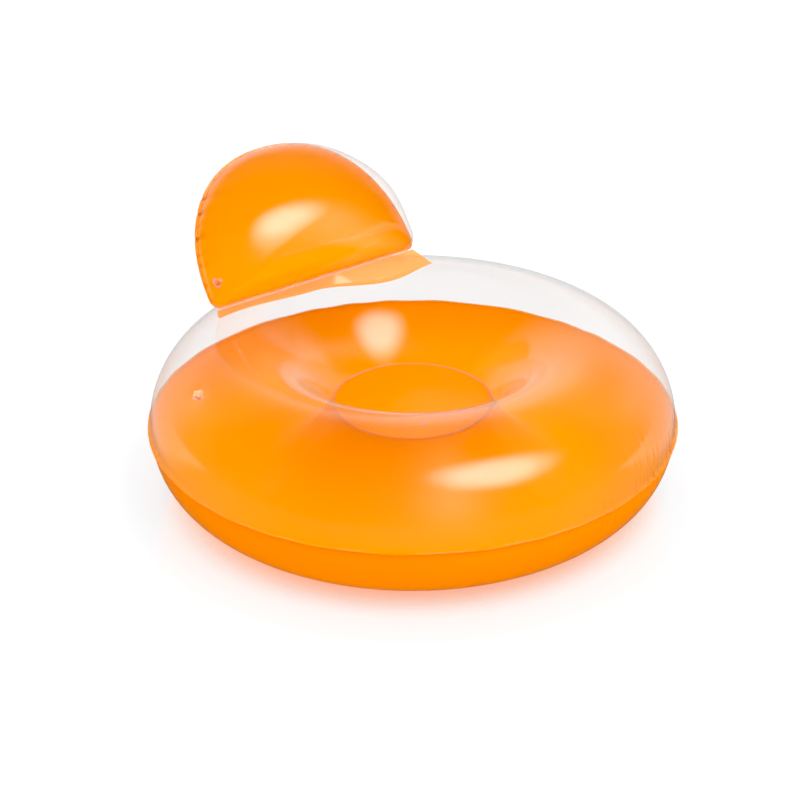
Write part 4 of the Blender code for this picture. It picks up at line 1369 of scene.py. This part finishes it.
class LOUNGER_OT_stage(Operator):
    """Set up the camera, the floor and the studio light"""

    bl_idname = "lounger.stage"
    bl_label = "Studio"

    def execute(self, context):
        scene = context.scene
        studio = scene.lounger_studio
        self.set_camera(scene, studio)
        self.lay_floor(scene, studio)
        self.hang_lights(scene, studio)
        self.paint_world(scene, studio)
        scene.view_settings.view_transform = "Standard"
        scene.view_settings.use_curve_mapping = True
        scene.view_settings.curve_mapping.black_level = (studio.black_level,) * 3
        scene.cycles.transparent_max_bounces = CLEAR_BOUNCES
        scene.cycles.max_bounces = BOUNCES
        return {"FINISHED"}

    def set_camera(self, scene, studio):
        """Camera at the photograph's angle."""
        back = back_vector(studio.azimuth, studio.elevation)
        middle = Vector((0.0, 0.0, SEAM_HEIGHT))
        right = Vector((math.cos(studio.azimuth), math.sin(studio.azimuth), 0.0))
        up = back.cross(right)
        aim = middle + right * studio.aim_right + up * studio.aim_up
        spot = middle + back * studio.distance
        data = bpy.data.cameras.new("studio_camera")
        data.lens = studio.lens
        data.sensor_width = SENSOR_WIDTH
        data.clip_end = CLIP_END
        camera = bpy.data.objects.new("studio_camera", data)
        look = (aim - spot).to_track_quat("-Z", "Y").to_matrix().to_4x4()
        camera.matrix_world = Matrix.Translation(spot) @ look @ Matrix.Rotation(studio.roll, 4, "Z")
        scene.collection.objects.link(camera)
        scene.camera = camera

    def lay_floor(self, scene, studio):
        """Floor that glows pale and mirrors the object beside it. In reflections it is a painted emission: dim
        near the object for its shade, bright on the far floor behind it.
        """
        half = studio.floor_size / 2.0
        corners = [(-half, -half), (half, -half), (half, half), (-half, half)]
        mesh = bpy.data.meshes.new("studio_floor")
        mesh.from_pydata([(x, y, -studio.floor_gap) for x, y in corners], [], [(0, 1, 2, 3)])
        floor = bpy.data.objects.new("studio_floor", mesh)
        scene.collection.objects.link(floor)
        material, finish = new_finish("studio_floor")
        seen = finish.node("ShaderNodeLightPath", output="Is Camera Ray")
        sockets = {
            "Base Color": opaque(studio.floor_colour),
            "Specular IOR Level": 0.0,
            "Emission Color": WHITE,
            "Emission Strength": seen * (studio.floor_glow - studio.floor_bounce) + studio.floor_bounce,
        }
        matt = finish.node("ShaderNodeBsdfPrincipled", {}, sockets)
        mirror = {"Color": WHITE, "Roughness": studio.floor_roughness}
        polish = finish.node("ShaderNodeBsdfAnisotropic", {}, mirror)
        place = finish.node("ShaderNodeTexCoord", output="Object")
        away = finish.node("ShaderNodeVectorMath", {"operation": "LENGTH"}, {0: place}, "Value")
        behind = finish.rise(finish.dot(place, BACKDROP_DIRECTION), *BEHIND_FADE)
        # Painted reflection of the floor: dim near the object for its shade, bright far behind it
        strength = finish.rise(away, *FAR_FADE) * behind * studio.painted_far_floor_gloss + studio.painted_near_floor_gloss
        painted_floor_gloss = finish.node("ShaderNodeEmission", {}, {"Strength": strength})
        band = finish.rise(away, *BAND_FADE) * BAND_MIRROR
        shown = finish.mix_shaders(finish.rise(away, *MIRROR_FADE) * studio.floor_mirror + band, matt, polish)
        in_gloss = finish.node("ShaderNodeLightPath", output="Is Glossy Ray")
        finish.surface(finish.mix_shaders(in_gloss, shown, painted_floor_gloss))
        mesh.materials.append(material)

    def hang_lights(self, scene, studio):
        """Broad soft fill overhead that leaves no highlight, and one far softbox."""
        sun = bpy.data.lights.new("overhead_fill", "SUN")
        sun.angle = FILL_ANGLE
        sun.energy = studio.fill_strength
        fill = bpy.data.objects.new("overhead_fill", sun)
        fill.visible_glossy = False
        scene.collection.objects.link(fill)
        box = bpy.data.objects.new("key_softbox", self.softbox(studio))
        back = KEY_DIRECTION.normalized()
        side = (KEY_LONG_AXIS - back * KEY_LONG_AXIS.dot(back)).normalized()
        turn = Matrix((side, back.cross(side), back)).transposed().to_4x4()
        box.matrix_world = Matrix.Translation(back * studio.light_distance) @ turn
        box.visible_camera = False
        scene.collection.objects.link(box)

    def softbox(self, studio):
        """Area light that fades from its middle to an oval edge."""
        light = bpy.data.lights.new("key_softbox", "AREA")
        light.shape = "RECTANGLE"
        light.size = 2.0 * studio.key_width * studio.light_distance
        light.size_y = 2.0 * studio.key_height * studio.light_distance
        light.energy = math.pi * light.size * light.size_y
        light.use_nodes = True
        finish = Finish(light.node_tree)
        place = finish.node("ShaderNodeNewGeometry", output="Parametric")
        split = finish.node("ShaderNodeSeparateXYZ", {}, {0: place})
        across = (split - 0.5) * 2.0
        along = (split.part(1) - 0.5) * 2.0
        glow = finish.rise((across * across + along * along).root(), *SOFTBOX_FADE)
        shine = finish.node("ShaderNodeEmission", {}, {"Strength": glow * studio.key_radiance})
        finish.node("ShaderNodeOutputLight", {}, {"Surface": shine})
        return light

    def paint_world(self, scene, studio):
        """White for the camera. For reflections, a bright low backdrop behind the object, and little else."""
        world = bpy.data.worlds.new("studio_world")
        world.use_nodes = True
        scene.world = world
        finish = Finish(world.node_tree)
        direction = finish.node("ShaderNodeTexCoord", output="Generated")
        behind = finish.rise(finish.dot(direction, BACKDROP_DIRECTION), *BACKDROP_FADE)
        low = finish.rise(finish.dot(direction, Vector((0.0, 0.0, 1.0))), *HEIGHT_FADE)
        lit = behind * low * studio.backdrop + studio.surround
        seen = finish.node("ShaderNodeLightPath", output="Is Camera Ray")
        colours = {"Color": WHITE, "Strength": lit * (1.0 - seen) + seen * WORLD_WHITE}
        background = finish.node("ShaderNodeBackground", {}, colours)
        finish.node("ShaderNodeOutputWorld", {}, {"Surface": background})


class LOUNGER_PT_panel(Panel):
    """Steps that build the lounger"""

    bl_idname = "LOUNGER_PT_panel"
    bl_label = "Pool Lounger"
    bl_space_type = "VIEW_3D"
    bl_region_type = "UI"
    bl_category = "Lounger"

    def draw(self, context):
        for step in STEPS:
            self.layout.operator(step.bl_idname)


STEPS = (LOUNGER_OT_ring, LOUNGER_OT_seat, LOUNGER_OT_pillow, LOUNGER_OT_valves, LOUNGER_OT_stage)
GROUPS = {
    "lounger_ring": RingSizes,
    "lounger_pillow": PillowSizes,
    "lounger_valve": ValveSizes,
    "lounger_finish": FinishSettings,
    "lounger_studio": StudioSettings,
}
VALVE_PARTS = (
    ("_flange", valve_base, "", "_valve_base"),
    ("_stem", valve_stem, "_stem", "_valve_stem"),
    ("_plug", valve_plug, "_plug", "_valve_plug"),
    ("_check", check_piece, "_check", "_valve_check_flap"),
)
CLASSES = (*GROUPS.values(), *STEPS, LOUNGER_PT_panel)


def register():
    """Register the settings, the steps and the panel."""
    for item in CLASSES:
        bpy.utils.register_class(item)
    for name, group in GROUPS.items():
        setattr(bpy.types.Scene, name, PointerProperty(type=group))


def unregister():
    """Take back what register added."""
    for name in GROUPS:
        delattr(bpy.types.Scene, name)
    for item in reversed(CLASSES):
        bpy.utils.unregister_class(item)


def main():
    """Build every piece."""
    register()
    bpy.ops.lounger.ring()
    bpy.ops.lounger.seat()
    bpy.ops.lounger.pillow()
    bpy.ops.lounger.valves()
    bpy.ops.lounger.stage()


if __name__ == "__main__":
    main()
